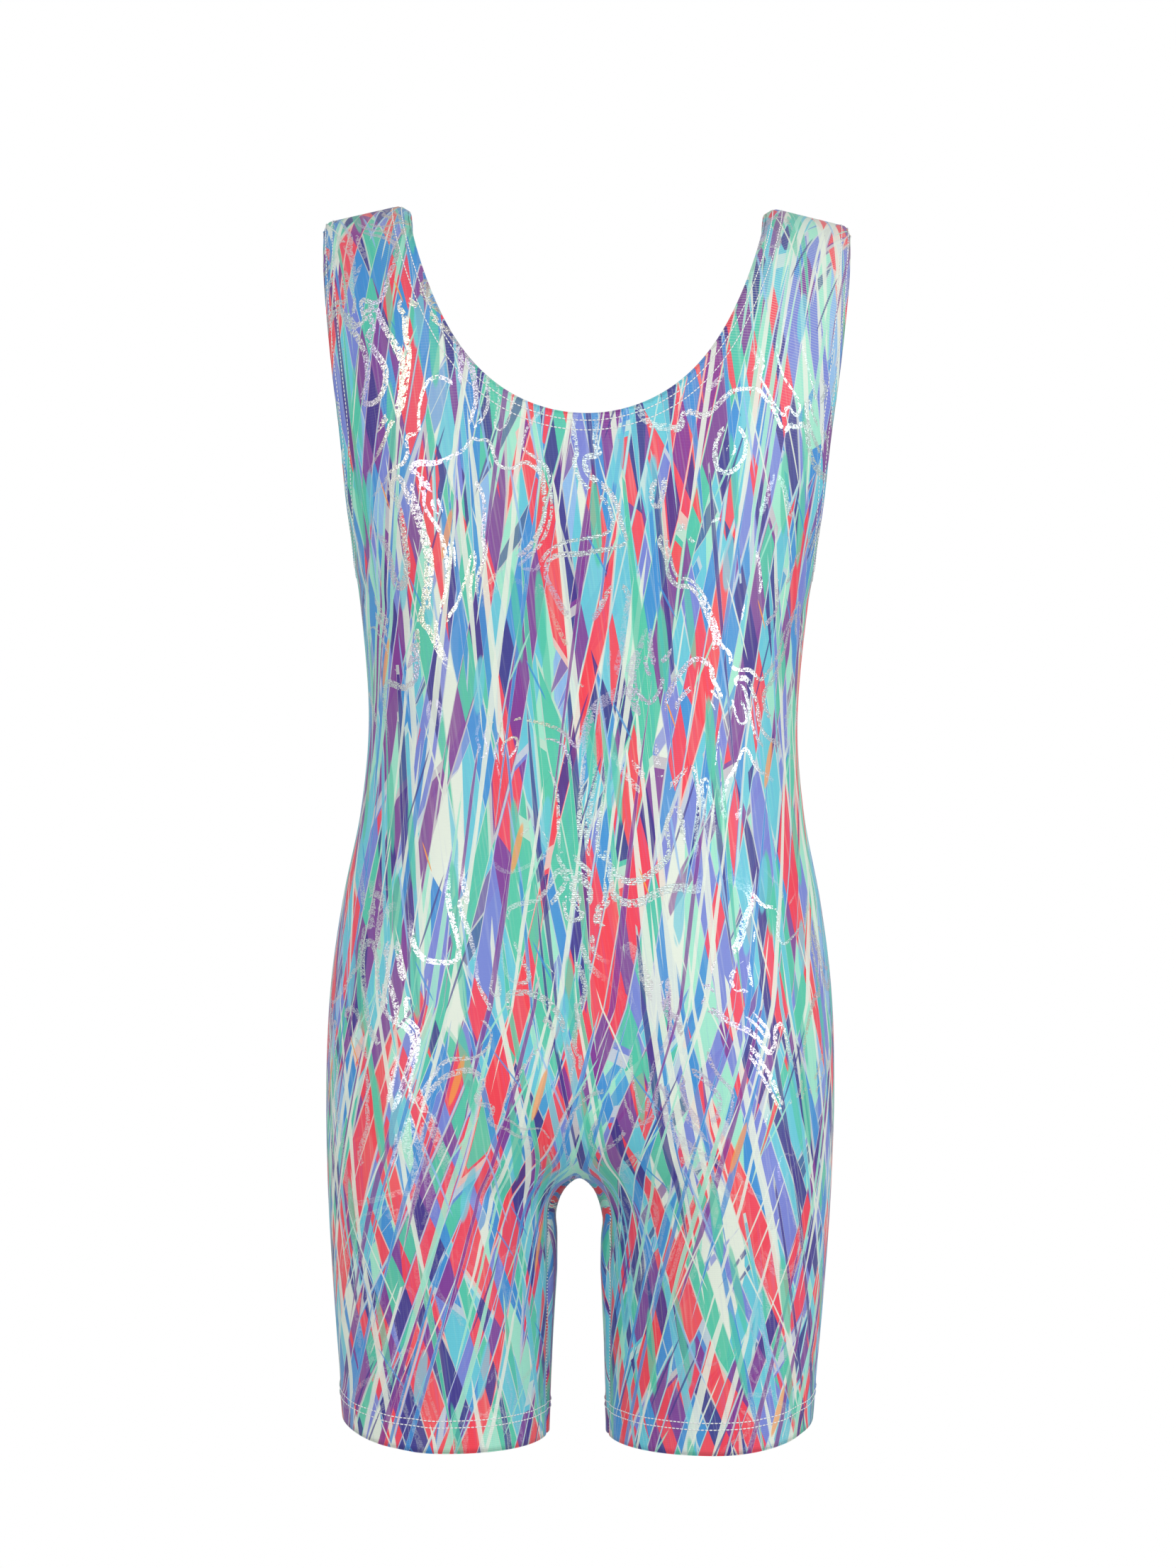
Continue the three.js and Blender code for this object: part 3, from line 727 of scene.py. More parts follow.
def fold_height(side, across, up):
    """How far the soft folds lift the cloth, with a little unevenness along each one."""
    height = np.zeros(np.broadcast(across, up).shape)
    for fold in FOLDS:
        if fold["side"] != side:
            continue
        start = np.array((fold["across_1"], fold["up_1"]), float)
        along = np.array((fold["across_2"], fold["up_2"]), float) - start
        length = np.linalg.norm(along)
        du, dv = across - start[0], up - start[1]
        t = (du * along[0] + dv * along[1]) / length**2
        bow = FOLD_BOW * length * np.sin(np.clip(t, 0, 1) * math.pi)
        off = (dv * along[0] - du * along[1]) / length - bow
        width = fold["width"] * (0.75 + 0.5 * np.clip(t, 0, 1))
        profile = np.exp(-((off / width) ** 2) * FOLD_SHARPNESS)
        taper = smoothstep(t, -0.22, 0.25) * (1 - smoothstep(t, 0.7, 1.3))
        height += fold["depth"] * profile * taper
    return height


# Meshes


class Cloth:
    """The front or back of the suit as one mesh: both halves, its openings cut, folds laid in."""

    def __init__(self, half):
        self.half = half
        self.side = half.side
        points, data = [], []
        self.lifted = {}
        for mirror in (1, -1):
            relief = self.relief(half.across * mirror, half.up)
            self.lifted[mirror] = (half.points + half.normals * relief[..., None]) * (mirror, 1, 1)
            points.append(self.lifted[mirror].reshape(-1, 3))
            cut = half.cut * (mirror, 1)
            fields = np.stack((self.neck_field(), self.armhole_field()), axis=-1)
            data.append(np.concatenate((cut, fields), axis=-1).reshape(-1, 4))
        self.points = np.concatenate(points)
        self.data = np.concatenate(data)
        self.faces = self.all_faces(*half.angle.shape)
        for field in (2, 3):
            self.clip(field)
        self.drop_unused()

    def neck_field(self):
        x, z = self.half.points[..., 0], self.half.points[..., 2]
        return np.where(self.half.reach[:, None] > NECK_FROM, neck_share(self.side, x, z), -1)

    def armhole_field(self):
        reach = self.half.reach[:, None]
        return np.where(reach > ARMHOLE_FROM, armhole_share(self.side, reach, self.half.angle), -1)

    def relief(self, across, up):
        """Folds, the sunk seams and the step over the turned hem, all along the normal."""
        half = self.half
        spacing = np.linalg.norm(np.diff(half.points, axis=1), axis=2).mean(axis=1)[:, None]
        column = np.arange(across.shape[1])[None, :]
        from_side = column * spacing
        from_seam = (across.shape[1] - 1 - column) * spacing
        leg = (np.arange(len(half.reach)) <= half.apex)[:, None]
        pucker = PUCKER * np.sin(up / 3.1 + 0.8 * np.sin(up / 11.0))
        side_seam = sunk_seam(SIDE_SEAM, from_side, pucker)
        inseam = sunk_seam(INSEAM, from_seam, pucker) * leg
        calm = smoothstep(-self.neck_field(), 0.02, 0.14) * smoothstep(-self.armhole_field(), 0.03, 0.2)
        folds = fold_height(self.side, across, up) * calm
        above_hem = up - HEM
        turned = HEM_STEP * (1 - smoothstep(above_hem, HEM_TURN - 1, HEM_TURN + 2))
        ripple = HEM_RIPPLE * np.sin(across / 4.3 + 1.3 * np.sin(across / 17)) * (
            1 - smoothstep(np.abs(above_hem - HEM_STITCH_ROWS[1]), 2, 12))
        reach = half.reach[:, None]
        from_neck = -self.neck_field() * NECK_HALF
        from_armhole = -self.armhole_field() * ARMHOLE_CREST_ANGLE / ARMHOLE_ANGLE_PER_MM
        rolled = edge_roll(from_neck, reach) + edge_roll(from_armhole, reach)
        shoulder_seam = sunk_seam(SHOULDER_SEAM, CREST_REACH - reach)
        return side_seam + inseam + folds + turned + ripple + rolled + shoulder_seam

    def all_faces(self, rows, columns):
        index = np.arange(rows * columns).reshape(rows, columns)
        faces = []
        for half_number, mirror in enumerate((1, -1)):
            grid = index + half_number * rows * columns
            if mirror < 0:
                grid = grid.copy()
                grid[self.half.apex:, -1] = index[self.half.apex:, -1]
            a, b, c, d = grid[:-1, :-1], grid[:-1, 1:], grid[1:, 1:], grid[1:, :-1]
            turned = SIGN[self.side] * mirror < 0
            corners = (a, d, c, b) if turned else (a, b, c, d)
            faces += np.stack([k.ravel() for k in corners], axis=1).tolist()
        return faces

    def clip(self, field):
        """Cuts away the cloth where a field of the data is above 0."""
        values = self.data[:, field]
        inside = values > 0
        made = {}
        points, data = [], []

        def crossing(a, b):
            key = (min(a, b), max(a, b))
            if key not in made:
                low, high = key
                t = values[low] / (values[low] - values[high])
                made[key] = len(self.points) + len(points)
                points.append(lerp(self.points[low], self.points[high], t))
                data.append(lerp(self.data[low], self.data[high], t))
            return made[key]

        kept = []
        for face in self.faces:
            out = [inside[k] for k in face]
            if not any(out):
                kept.append(face)
            elif not all(out):
                polygon = []
                for k, a in enumerate(face):
                    b = face[(k + 1) % len(face)]
                    if not inside[a]:
                        polygon.append(a)
                    if inside[a] != inside[b]:
                        polygon.append(crossing(a, b))
                if len(polygon) > 2:
                    kept.append(polygon)
        self.faces = kept
        self.points = np.concatenate((self.points, points))
        self.data = np.concatenate((self.data, data))

    def drop_unused(self):
        used = sorted({k for face in self.faces for k in face})
        place = {k: i for i, k in enumerate(used)}
        self.points = self.points[used]
        self.data = self.data[used]
        self.faces = [[place[k] for k in face] for face in self.faces]

    def flat_area(self):
        """Area of the flat cut in square millimetres."""
        total = 0.0
        for face in self.faces:
            u, v = self.data[face, 0], self.data[face, 1]
            total += abs(np.dot(u, np.roll(v, 1)) - np.dot(v, np.roll(u, 1))) / 2
        return total


def mesh_object(name, points, faces, cut=None, materials=()):
    """A mesh object from points in millimetres, with its cut coordinates as a UV map in metres."""
    mesh = bpy.data.meshes.new(name)
    mesh.from_pydata((np.asarray(points) * MM).tolist(), [], faces)
    mesh.validate()
    if cut is not None:
        layer = mesh.uv_layers.new(name="cut")
        corners = np.empty(len(mesh.loops), dtype=int)
        mesh.loops.foreach_get("vertex_index", corners)
        layer.data.foreach_set("uv", (np.asarray(cut)[corners] * MM).astype(np.float32).ravel())
    for material in materials:
        mesh.materials.append(material)
    mesh.polygons.foreach_set("use_smooth", [True] * len(mesh.polygons))
    piece = bpy.data.objects.new(name, mesh)
    bpy.context.collection.objects.link(piece)
    return piece


def give_thickness(piece, thickness):
    """Solidify inwards from the outer face, applied; inner faces take the second material."""
    bpy.ops.object.select_all(action="DESELECT")
    piece.select_set(True)
    bpy.context.view_layer.objects.active = piece
    solid = piece.modifiers.new("thickness", "SOLIDIFY")
    solid.thickness = thickness * MM
    solid.offset = -1
    solid.use_even_offset = False
    solid.material_offset = 1
    solid.material_offset_rim = 0
    bpy.ops.object.modifier_apply(modifier=solid.name)


def band(name, points, normals, towards, profile, cut, cut_across, materials):
    """A closed band swept round a loop. The profile is (towards the opening, along the normal)."""
    count = len(points)
    rings = [points + towards * out + normals * lift for out, lift in profile]
    maps = [cut + cut_across * travelled for travelled in path_lengths(profile)]
    faces = []
    for start in range(0, (len(profile) - 1) * count, count):
        for i in range(count):
            j = (i + 1) % count
            faces.append((start + i, start + j, start + count + j, start + count + i))
    piece = mesh_object(name, np.concatenate(rings), faces, np.concatenate(maps), materials)
    mesh = bmesh.new()
    mesh.from_mesh(piece.data)
    bmesh.ops.recalc_face_normals(mesh, faces=mesh.faces)
    mesh.to_mesh(piece.data)
    mesh.free()
    return piece


def edge_profile(width, depth):
    """The section of a turned edge: round over the fold, then flat along the inside."""
    radius = depth / 2
    turns = np.linspace(QUARTER, -QUARTER, 9)
    curve = [(radius * 0.8 * math.cos(a), radius * math.sin(a) - radius) for a in turns]
    inner = [(-width * k / 4, -depth) for k in range(1, 5)]
    return np.array(curve + inner)


def towards_opening(points, normals, centre):
    """Directions along the cloth, across a loop and into its opening."""
    tangent = unit(np.roll(points, -1, axis=0) - np.roll(points, 1, axis=0))
    across = unit(np.cross(normals, tangent))
    facing = ((centre - points) * across).sum(axis=1)
    return across * np.sign(facing.mean())


# Shading


class Value:
    """A shader socket that takes part in Python arithmetic."""

    def __init__(self, shader, node, socket):
        self.shader, self.node, self.socket = shader, node, socket

    def other(self, name):
        return Value(self.shader, self.node, self.node.outputs[name])

    def maths(self, operation, *inputs):
        return self.shader.node("Math", {"operation": operation}, dict(enumerate(inputs)))

    def __add__(self, other):
        return self.maths("ADD", self, other)

    def __sub__(self, other):
        return self.maths("SUBTRACT", self, other)

    def __rsub__(self, other):
        return self.maths("SUBTRACT", other, self)

    def __mul__(self, other):
        return self.maths("MULTIPLY", self, other)

    def __truediv__(self, other):
        return self.maths("DIVIDE", self, other)

    def __pow__(self, other):
        return self.maths("POWER", self, other)

    def __lt__(self, other):
        return self.maths("LESS_THAN", self, other)

    def __gt__(self, other):
        return self.maths("GREATER_THAN", self, other)

    __radd__ = __add__
    __rmul__ = __mul__

    def lowest(self, other):
        return self.maths("MINIMUM", self, other)

    def highest(self, other):
        return self.maths("MAXIMUM", self, other)

    def size(self):
        return self.maths("ABSOLUTE", self)

    def wave(self):
        return self.maths("SINE", self)

    def step(self, low, high):
        """0 below low, 1 above high and smooth between."""
        settings = {"interpolation_type": "SMOOTHSTEP"}
        return self.shader.node("MapRange", settings, {"Value": self, "From Min": low, "From Max": high})


class Shader:
    """A material and the one way in which its nodes are added."""

    def __init__(self, name):
        self.material = bpy.data.materials.new(name)
        self.material.use_nodes = True
        self.tree = self.material.node_tree
        self.surface = self.tree.nodes["Principled BSDF"]

    def node(self, kind, settings=None, inputs=None, output=0):
        node = self.tree.nodes.new("ShaderNode" + kind)
        for name, value in (settings or {}).items():
            if name == "stops":
                self.set_stops(node.color_ramp, value)
            else:
                setattr(node, name, value)
        for name, value in (inputs or {}).items():
            self.fill(node.inputs[name], value)
        return Value(self, node, node.outputs[output])

    @staticmethod
    def set_stops(ramp, stops):
        ramp.interpolation = "CONSTANT"
        while len(ramp.elements) < len(stops):
            ramp.elements.new(0.5)
        for element, (place, colour) in zip(ramp.elements, stops):
            element.position = place
            element.color = colour

    def fill(self, socket, value):
        if isinstance(value, Value):
            self.tree.links.new(value.socket, socket)
        else:
            socket.default_value = value

    def mix(self, share, first, second):
        """Two colours mixed; a Mix node's colour sockets are its inputs 6 and 7 and its output 2."""
        return self.node("Mix", {"data_type": "RGBA"}, {0: share, 6: first, 7: second}, output=2)

    def point(self, x, y, z=0.0):
        return self.node("CombineXYZ", None, {"X": x, "Y": y, "Z": z})

    def cut(self):
        """Across and up the cut, in metres."""
        place = self.node("UVMap", {"uv_map": "cut"})
        parts = self.node("SeparateXYZ", None, {"Vector": place})
        return parts, parts.other("Y")

    def noise(self, x, y, z=0.0, detail=2.0):
        return self.node("TexNoise", None, {"Vector": self.point(x, y, z), "Scale": 1.0, "Detail": detail})

    def bump(self, height, distance, strength, normal=None):
        inputs = {"Height": height, "Distance": distance, "Strength": strength}
        if normal is not None:
            inputs["Normal"] = normal
        return self.node("Bump", None, inputs)

    def finish(self, **sockets):
        for name, value in sockets.items():
            self.fill(self.surface.inputs[name.replace("_", " ")], value)
        return self.material


# Settings


def number(name, description, default, **limits):
    return FloatProperty(name=name, description=description, default=default, **limits)


def ink(name, description, colour):
    return FloatVectorProperty(
        name=name, description=description, subtype="COLOR", size=4, min=0, max=1, default=(*colour, 1))


class SuitCloth(bpy.types.PropertyGroup):
    thickness: number("Thickness", "Thickness of the knit in millimetres", 0.7, min=0.2, max=2)
    grid_step: number("Grid step", "Spacing of the cloth's points in millimetres", 3.0, min=2)
    columns: IntProperty(
        name="Columns", description="Points from the side seam to the centre line", default=60, min=12)
    edge_depth: number("Edge depth", "Depth of a turned edge in millimetres", 2.0, min=0.8)
    stitch_pitch: number("Stitch pitch", "Length of one stitch in millimetres", 2.3, min=1)
    stitch_width: number("Thread width", "Width of the thread in millimetres", 0.7, min=0.1)


class SuitInks(bpy.types.PropertyGroup):
    cream: ink("Cream", "Palest ground of the print", (0.84, 0.92, 0.80))
    mint_pale: ink("Pale mint", "Pale green ground", (0.38, 0.86, 0.66))
    mint: ink("Mint", "Strong green streaks", (0.08, 0.62, 0.42))
    aqua: ink("Aqua", "Blue-green ground", (0.14, 0.63, 0.76))
    sky_pale: ink("Pale sky", "Pale blue ground", (0.30, 0.55, 0.88))
    sky: ink("Sky", "Blue streaks", (0.045, 0.30, 0.72))
    periwinkle: ink("Periwinkle", "Blue-violet streaks", (0.20, 0.24, 0.72))
    indigo: ink("Indigo", "Darkest streaks", (0.045, 0.027, 0.27))
    purple: ink("Purple", "Violet streaks", (0.24, 0.035, 0.32))
    coral: ink("Coral", "Red diamonds", (1.0, 0.052, 0.085))
    orange: ink("Orange", "Thin warm lines", (0.98, 0.36, 0.06))
    reverse: ink("Reverse", "Back of the knit", (0.72, 0.76, 0.80))
    thread: ink("Thread", "Stitching thread", (0.97, 0.98, 0.98))


class SuitStage(bpy.types.PropertyGroup):
    camera_distance: number("Camera distance", "From the side seams to the camera", 1.5, unit="LENGTH")
    camera_height: number("Camera height", "Height of the level camera", -0.321, unit="LENGTH")
    camera_roll: number("Camera roll", "Tilt of the picture", math.radians(-0.45), subtype="ANGLE")
    key_power: number("Key power", "Power of the brighter, right softbox in watts", 11.5)
    fill_power: number("Fill power", "Power of the left softbox in watts", 7.5)
    front_power: number("Front power", "Power of the light beside the camera in watts", 5.0)


def cloth_settings():
    return bpy.context.scene.suit_cloth


# Materials


def leaning(across, up, lean, leg_lean):
    """The coordinate across a family of streaks that lean, and lean more on the legs."""
    below = (up - LEG_TOP).lowest(0.0)
    return across + up * lean + below * leg_lean


def inked(name):
    return tuple(getattr(bpy.context.scene.suit_inks, name))


def pick_ink(shader, names, chance):
    """One of the named inks, by chance."""
    stops = [(k / len(names), inked(name)) for k, name in enumerate(names)]
    return shader.node("ValToRGB", {"stops": stops}, {"Fac": chance})


def cells(shader, place, **settings):
    """Cells of about one unit, or with other settings the distance to their rims."""
    settings = {"voronoi_dimensions": "2D", **settings}
    return shader.node("TexVoronoi", settings, {"Vector": place, "Scale": 1.0})


def streak_colour(shader, across, up):
    """The whole print: a pale wash, two families of crossing streaks, diamonds and thin lines."""
    wobble = shader.noise(across * 5, up * 3) - 0.5
    colour = None
    crossed = None
    for order, streak in enumerate(STREAKS):
        lean = leaning(across, up, streak["lean"], streak["leg_lean"]) + wobble * 0.006
        place = shader.point(lean / (streak["width"] * MM) + 7.3 * order, up / (streak["length"] * MM))
        cell = cells(shader, place)
        chance = shader.node("SeparateColor", None, {"Color": cell.other("Color")})
        paint = pick_ink(shader, streak["inks"], chance)
        if colour is None:
            colour = paint
            continue
        share = chance.other("Green") < streak["share"]
        colour = shader.mix(share * streak["strength"], colour, paint)
        rim = cells(shader, place, feature="DISTANCE_TO_EDGE")
        outline = (rim < RIM_WIDTH) * share
        colour = shader.mix(outline * RIM_STRENGTH, colour, inked("cream"))
        if streak["name"] == CROSSING[0]:
            crossed = (share, chance)
        elif streak["name"] == CROSSING[1]:
            both = crossed[0] * share
            pick = (crossed[1].other("Blue") + chance.other("Blue")) * 0.5
            deep = pick_ink(shader, DIAMOND_INKS, pick)
            clear = 1 - (rim < DIAMOND_RIM)
            colour = shader.mix(both * clear * DIAMOND_STRENGTH, colour, deep)
    brush = shader.noise((across + up * 0.15 + wobble * 0.01) * 620, up * 16)
    colour = shader.mix(brush.step(0.52, 0.72) * BRUSH_STRENGTH, colour, inked("cream"))
    colour = shader.mix(brush.step(0.46, 0.28) * BRUSH_STRENGTH, colour, inked("periwinkle"))
    for order, line in enumerate(LINES):
        lean = leaning(across, up, line["lean"], line["leg_lean"]) + wobble * 0.01
        place = shader.point(lean / (line["width"] * MM) + 3.1 * order + 40, up / (line["length"] * MM))
        mark = 1 - cells(shader, place).step(line["reach"] * 0.8, line["reach"])
        colour = shader.mix(mark * line["strength"], colour, inked(line["ink"]))
    return colour


def foil_field(shader, across, up):
    place = shader.point(across * 25, up * 17 + 5.2)
    return shader.node("TexNoise", {"noise_dimensions": "2D"},
                       {"Vector": place, "Scale": 1.0, "Detail": 1.0, "Distortion": 0.7})


def foil_share(shader, across, up):
    """Waves of broken foil in strokes of even width, mostly on the body and faint on the legs."""
    field = foil_field(shader, across, up)
    aside = (foil_field(shader, across + FOIL_STEP, up) - field) / FOIL_STEP
    above = (foil_field(shader, across, up + FOIL_STEP) - field) / FOIL_STEP
    slope = (aside * aside + above * above) ** 0.5
    breadth = shader.noise(across * 14, up * 9, 3.0) ** 2 * 0.0052 + 0.0003
    first, second = [(field - level).size() < breadth * slope * width for level, width in FOIL_LEVELS]
    loops = first.highest(second) * (slope > FOIL_LEAST_SLOPE) * (above > slope * FOIL_OPEN_SIDE)
    crackle = cells(shader, shader.point(across * 480, up * 900), voronoi_dimensions="3D",
                    feature="DISTANCE_TO_EDGE")
    whole = crackle > 0.05
    patches = shader.noise(across * 9, up * 7, 8.0, 3.0).step(0.40, 0.52)
    wear = shader.noise(across * 420, up * 420, detail=3.0).step(0.36, 0.46)
    legs = up.step(-0.56, -0.44) * 0.8 + 0.2
    return loops * whole * wear * patches * legs


def knit_height(across, up):
    """Fine courses and wales of the knit."""
    courses = (up * (2 * math.pi / COURSE)).wave()
    wales = (across * (2 * math.pi / WALE)).wave()
    return courses * 0.6 + wales * 0.25


@functools.cache
def printed_knit():
    shader = Shader("suit_print")
    across, up = shader.cut()
    ground = streak_colour(shader, across, up)
    stretch = up.step(-0.16, -0.02) * shader.noise(across * 11, up * 8).step(0.4, 0.6)
    courses = (up * (2 * math.pi / STRETCHED_COURSE)).wave().step(0.2, 0.9)
    ground = shader.mix(courses * stretch * 0.35, ground, inked("cream"))
    foil = foil_share(shader, across, up)
    hue = shader.noise(across * 7, up * 5, 2.0, 1.0)
    tint = shader.node("ValToRGB", {"stops": FOIL_TINTS}, {"Fac": hue})
    tint.node.color_ramp.interpolation = "EASE"
    colour = shader.mix(foil, ground, tint)
    knit = shader.bump(knit_height(across, up), 0.00005, 0.6)
    grain = shader.noise(across * 700, up * 700)
    normal = shader.bump(grain * foil, 0.00035, 0.8, knit)
    rough = shader.noise(across * 40, up * 12, 5.0) * 0.12 + 0.40
    return shader.finish(
        Base_Color=colour, Metallic=foil * 0.95, Roughness=rough - foil * 0.18, Normal=normal,
        Sheen_Weight=0.12, Sheen_Roughness=0.4)


@functools.cache
def knit_reverse():
    shader = Shader("suit_reverse")
    across, up = shader.cut()
    ground = streak_colour(shader, across, up)
    pale = shader.mix(REVERSE_COVER, ground, inked("reverse"))
    knit = shader.bump(knit_height(across, up), 0.00008, 0.8)
    return shader.finish(Base_Color=pale, Roughness=0.75, Normal=knit, Sheen_Weight=0.2)


@functools.cache
def stitching_thread():
    shader = Shader("suit_thread")
    place = shader.node("TexCoord").other("Object")
    fibre = shader.node("TexNoise", None, {"Vector": place, "Scale": FIBRE_SCALE, "Detail": 2.0})
    shaded = tuple(c * THREAD_SHADE for c in inked("thread")[:3]) + (1,)
    tone = shader.mix(fibre, shaded, inked("thread"))
    return shader.finish(
        Base_Color=tone, Roughness=0.55, Normal=shader.bump(fibre, 0.00008, 0.6), Sheen_Weight=0.2)


# Pieces


@functools.cache
def cloths():
    """The front and back of the suit, worked out once."""
    settings = cloth_settings()
    halves = [Half(side, settings.grid_step, settings.columns) for side in (FRONT, BACK)]
    share_seam_normals(*halves)
    return {half.side: Cloth(half) for half in halves}


def settle(piece, slot, *nodes):
    """Rides a piece on the one body and hides the nodes that it replaces; the slot, which names what it is
    made of, is not used.
    """
    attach(piece, "root")
    if nodes:
        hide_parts(*nodes)


class SUIT_OT_panels(bpy.types.Operator):
    """Makes the front and back panels"""
    bl_idname = "suit.panels"
    bl_label = "Panels"

    def execute(self, context):
        for side, cloth in cloths().items():
            cut = cloth.data[:, :2] + ((0, 0) if side == FRONT else (CUT_APART, 0))
            materials = (printed_knit(), knit_reverse())
            piece = mesh_object(f"{side}_cloth", cloth.points, cloth.faces, cut, materials)
            give_thickness(piece, cloth_settings().thickness)
            settle(piece, "printed_knit", f"{side}_panel")
            cloth.flat_area() * MM * MM
        return {"FINISHED"}


def turned_band(piece_name, node, points, normals, cut, towards, width, cut_across):
    """Cloth turned in along an edge; what shows of it flat is its width and one and a half depths."""
    depth = cloth_settings().edge_depth
    piece = band(piece_name, points, normals, towards, edge_profile(width, depth), cut,
                 np.array((0, cut_across)), (printed_knit(),))
    settle(piece, "printed_knit", node)
    length = np.linalg.norm(points - np.roll(points, 1, axis=0), axis=1).sum()


def turned_edge(name, node, loop, centre):
    points, normals, cut = even_loop(*loop, EDGE_STEP)
    towards = towards_opening(points, normals, centre)
    turned_band(name, node, points, normals, cut, towards, EDGE_TURN, 1.0)


class SUIT_OT_edges(bpy.types.Operator):
    """Makes the turned edges of the neck and the armholes"""
    bl_idname = "suit.edges"
    bl_label = "Turned edges"

    def execute(self, context):
        turned_edge("neck_edge", "neck_turn", neck_loop(0), NECK_CENTRE)
        for name, mirror in MIRRORS.items():
            centre = np.array(ARMHOLE_CENTRE) * (mirror, 1, 1)
            turned_edge(f"armhole_edge_{name}", f"armhole_turn_{name}", armhole_loop(0, mirror), centre)
        return {"FINISHED"}


def leg_ring(row, mirror):
    """One row of points round a leg, front and back, with normals and cut places, as a loop."""
    parts = []
    for cloth in cloths().values():
        normals = cloth.half.normals[row] * (mirror, 1, 1)
        parts.append((cloth.lifted[mirror][row], normals, cloth.half.cut[row] * (mirror, 1)))
    return [np.concatenate((front, back[-2:0:-1])) for front, back in zip(*parts)]


class SUIT_OT_hems(bpy.types.Operator):
    """Makes the turned-up hems of the legs"""
    bl_idname = "suit.hems"
    bl_label = "Leg hems"

    def execute(self, context):
        down = np.array((0.0, 0.0, -1.0))
        for name, mirror in MIRRORS.items():
            node = f"leg_hem_turn_{name}"
            turned_band(f"leg_hem_{name}", node, *leg_ring(0, mirror), down, HEM_TURN, -1.0)
        return {"FINISHED"}


def one_stitch():
    """A single stitch, lying along X, one unit long and wide: a short thread dipping at its ends."""
    bpy.ops.object.select_all(action="DESELECT")
    bpy.ops.mesh.primitive_uv_sphere_add(segments=8, ring_count=6, radius=0.5, location=(0, 0, 0))
    pattern = bpy.context.object
    bpy.ops.object.mode_set(mode="EDIT")
    bpy.ops.mesh.select_all(action="SELECT")
    bpy.ops.transform.rotate(value=QUARTER, orient_axis="Y", center_override=(0, 0, 0))
    bpy.ops.object.mode_set(mode="OBJECT")
    points = np.array([v.co[:] for v in pattern.data.vertices])
    faces = [list(p.vertices) for p in pattern.data.polygons]
    bpy.data.objects.remove(pattern)
    return points, faces


def stitches(name, rows, thickness):
    """Copies one stitch along rows; each row is its start points, end points and normals."""
    pattern, pattern_faces = one_stitch()
    starts, ends, normals = [np.concatenate(parts) for parts in zip(*rows)]
    forward = unit(ends - starts)
    sideways = unit(np.cross(normals, forward))
    lift = np.cross(forward, sideways)
    x, y, z = pattern.T[..., None]
    raised = z * STITCH_FLAT + (1 - (2 * x) ** 2) * STITCH_BOW
    local = x * (ends - starts)[:, None] + (y * sideways[:, None] + raised * lift[:, None]) * thickness
    points = ((starts + ends) / 2)[:, None] + local
    firsts = range(0, len(starts) * len(pattern), len(pattern))
    faces = [[v + first for v in face] for first in firsts for face in pattern_faces]
    piece = mesh_object(name, points.reshape(-1, 3), faces, None, (stitching_thread(),))
    settle(piece, "thread")


def stitch_row(loop, pitch):
    """Straight stitches along a loop, a little apart."""
    points, normals, _ = even_loop(*loop, pitch)
    points = points + normals * STITCH_HEIGHT
    return points, lerp(points, np.roll(points, -1, axis=0), STITCH_SHARE), normals


def looper_row(first, second, pitch):
    """The thread on the inside of the seam, which crosses between its two rows."""
    a, normals, _ = even_loop(*first, pitch * LOOPER_PITCH)
    b = even_loop(*second, pitch * LOOPER_PITCH)[0]
    nearest = np.linalg.norm(a[:, None] - b, axis=2).argmin(axis=1)
    inside = normals * (cloth_settings().edge_depth + LOOPER_CLEAR)
    a, b = a - inside, b[nearest] - inside
    starts = np.concatenate((a, b))
    ends = np.concatenate((b, np.roll(a, -1, axis=0)))
    return starts, ends, np.concatenate((normals, normals))


def hem_line(mirror, rise):
    """A loop round a leg at a distance above its hem."""
    reach = cloths()[FRONT].half.reach
    row = int(np.searchsorted(reach, reach[0] + rise)) - 1
    t = (reach[0] + rise - reach[row]) / (reach[row + 1] - reach[row])
    low, high = leg_ring(row, mirror), leg_ring(row + 1, mirror)
    return [lerp(a, b, t) for a, b in zip(low, high)]


class SUIT_OT_stitching(bpy.types.Operator):
    """Sews the two rows of cover stitch round each opening"""
    bl_idname = "suit.stitching"
    bl_label = "Cover stitch"

    def execute(self, context):
        pitch = cloth_settings().stitch_pitch
        lines = {"neck_stitching": [neck_loop(grow) for grow in EDGE_STITCH_ROWS]}
        for name, mirror in MIRRORS.items():
            lines[f"armhole_stitching_{name}"] = [armhole_loop(grow, mirror) for grow in EDGE_STITCH_ROWS]
        for name, mirror in MIRRORS.items():
            lines[f"hem_stitching_{name}"] = [hem_line(mirror, rise) for rise in HEM_STITCH_ROWS]
        for name, (first, second) in lines.items():
            rows = (stitch_row(first, pitch), stitch_row(second, pitch), looper_row(first, second, pitch))
            stitches(name, rows, cloth_settings().stitch_width)
        return {"FINISHED"}


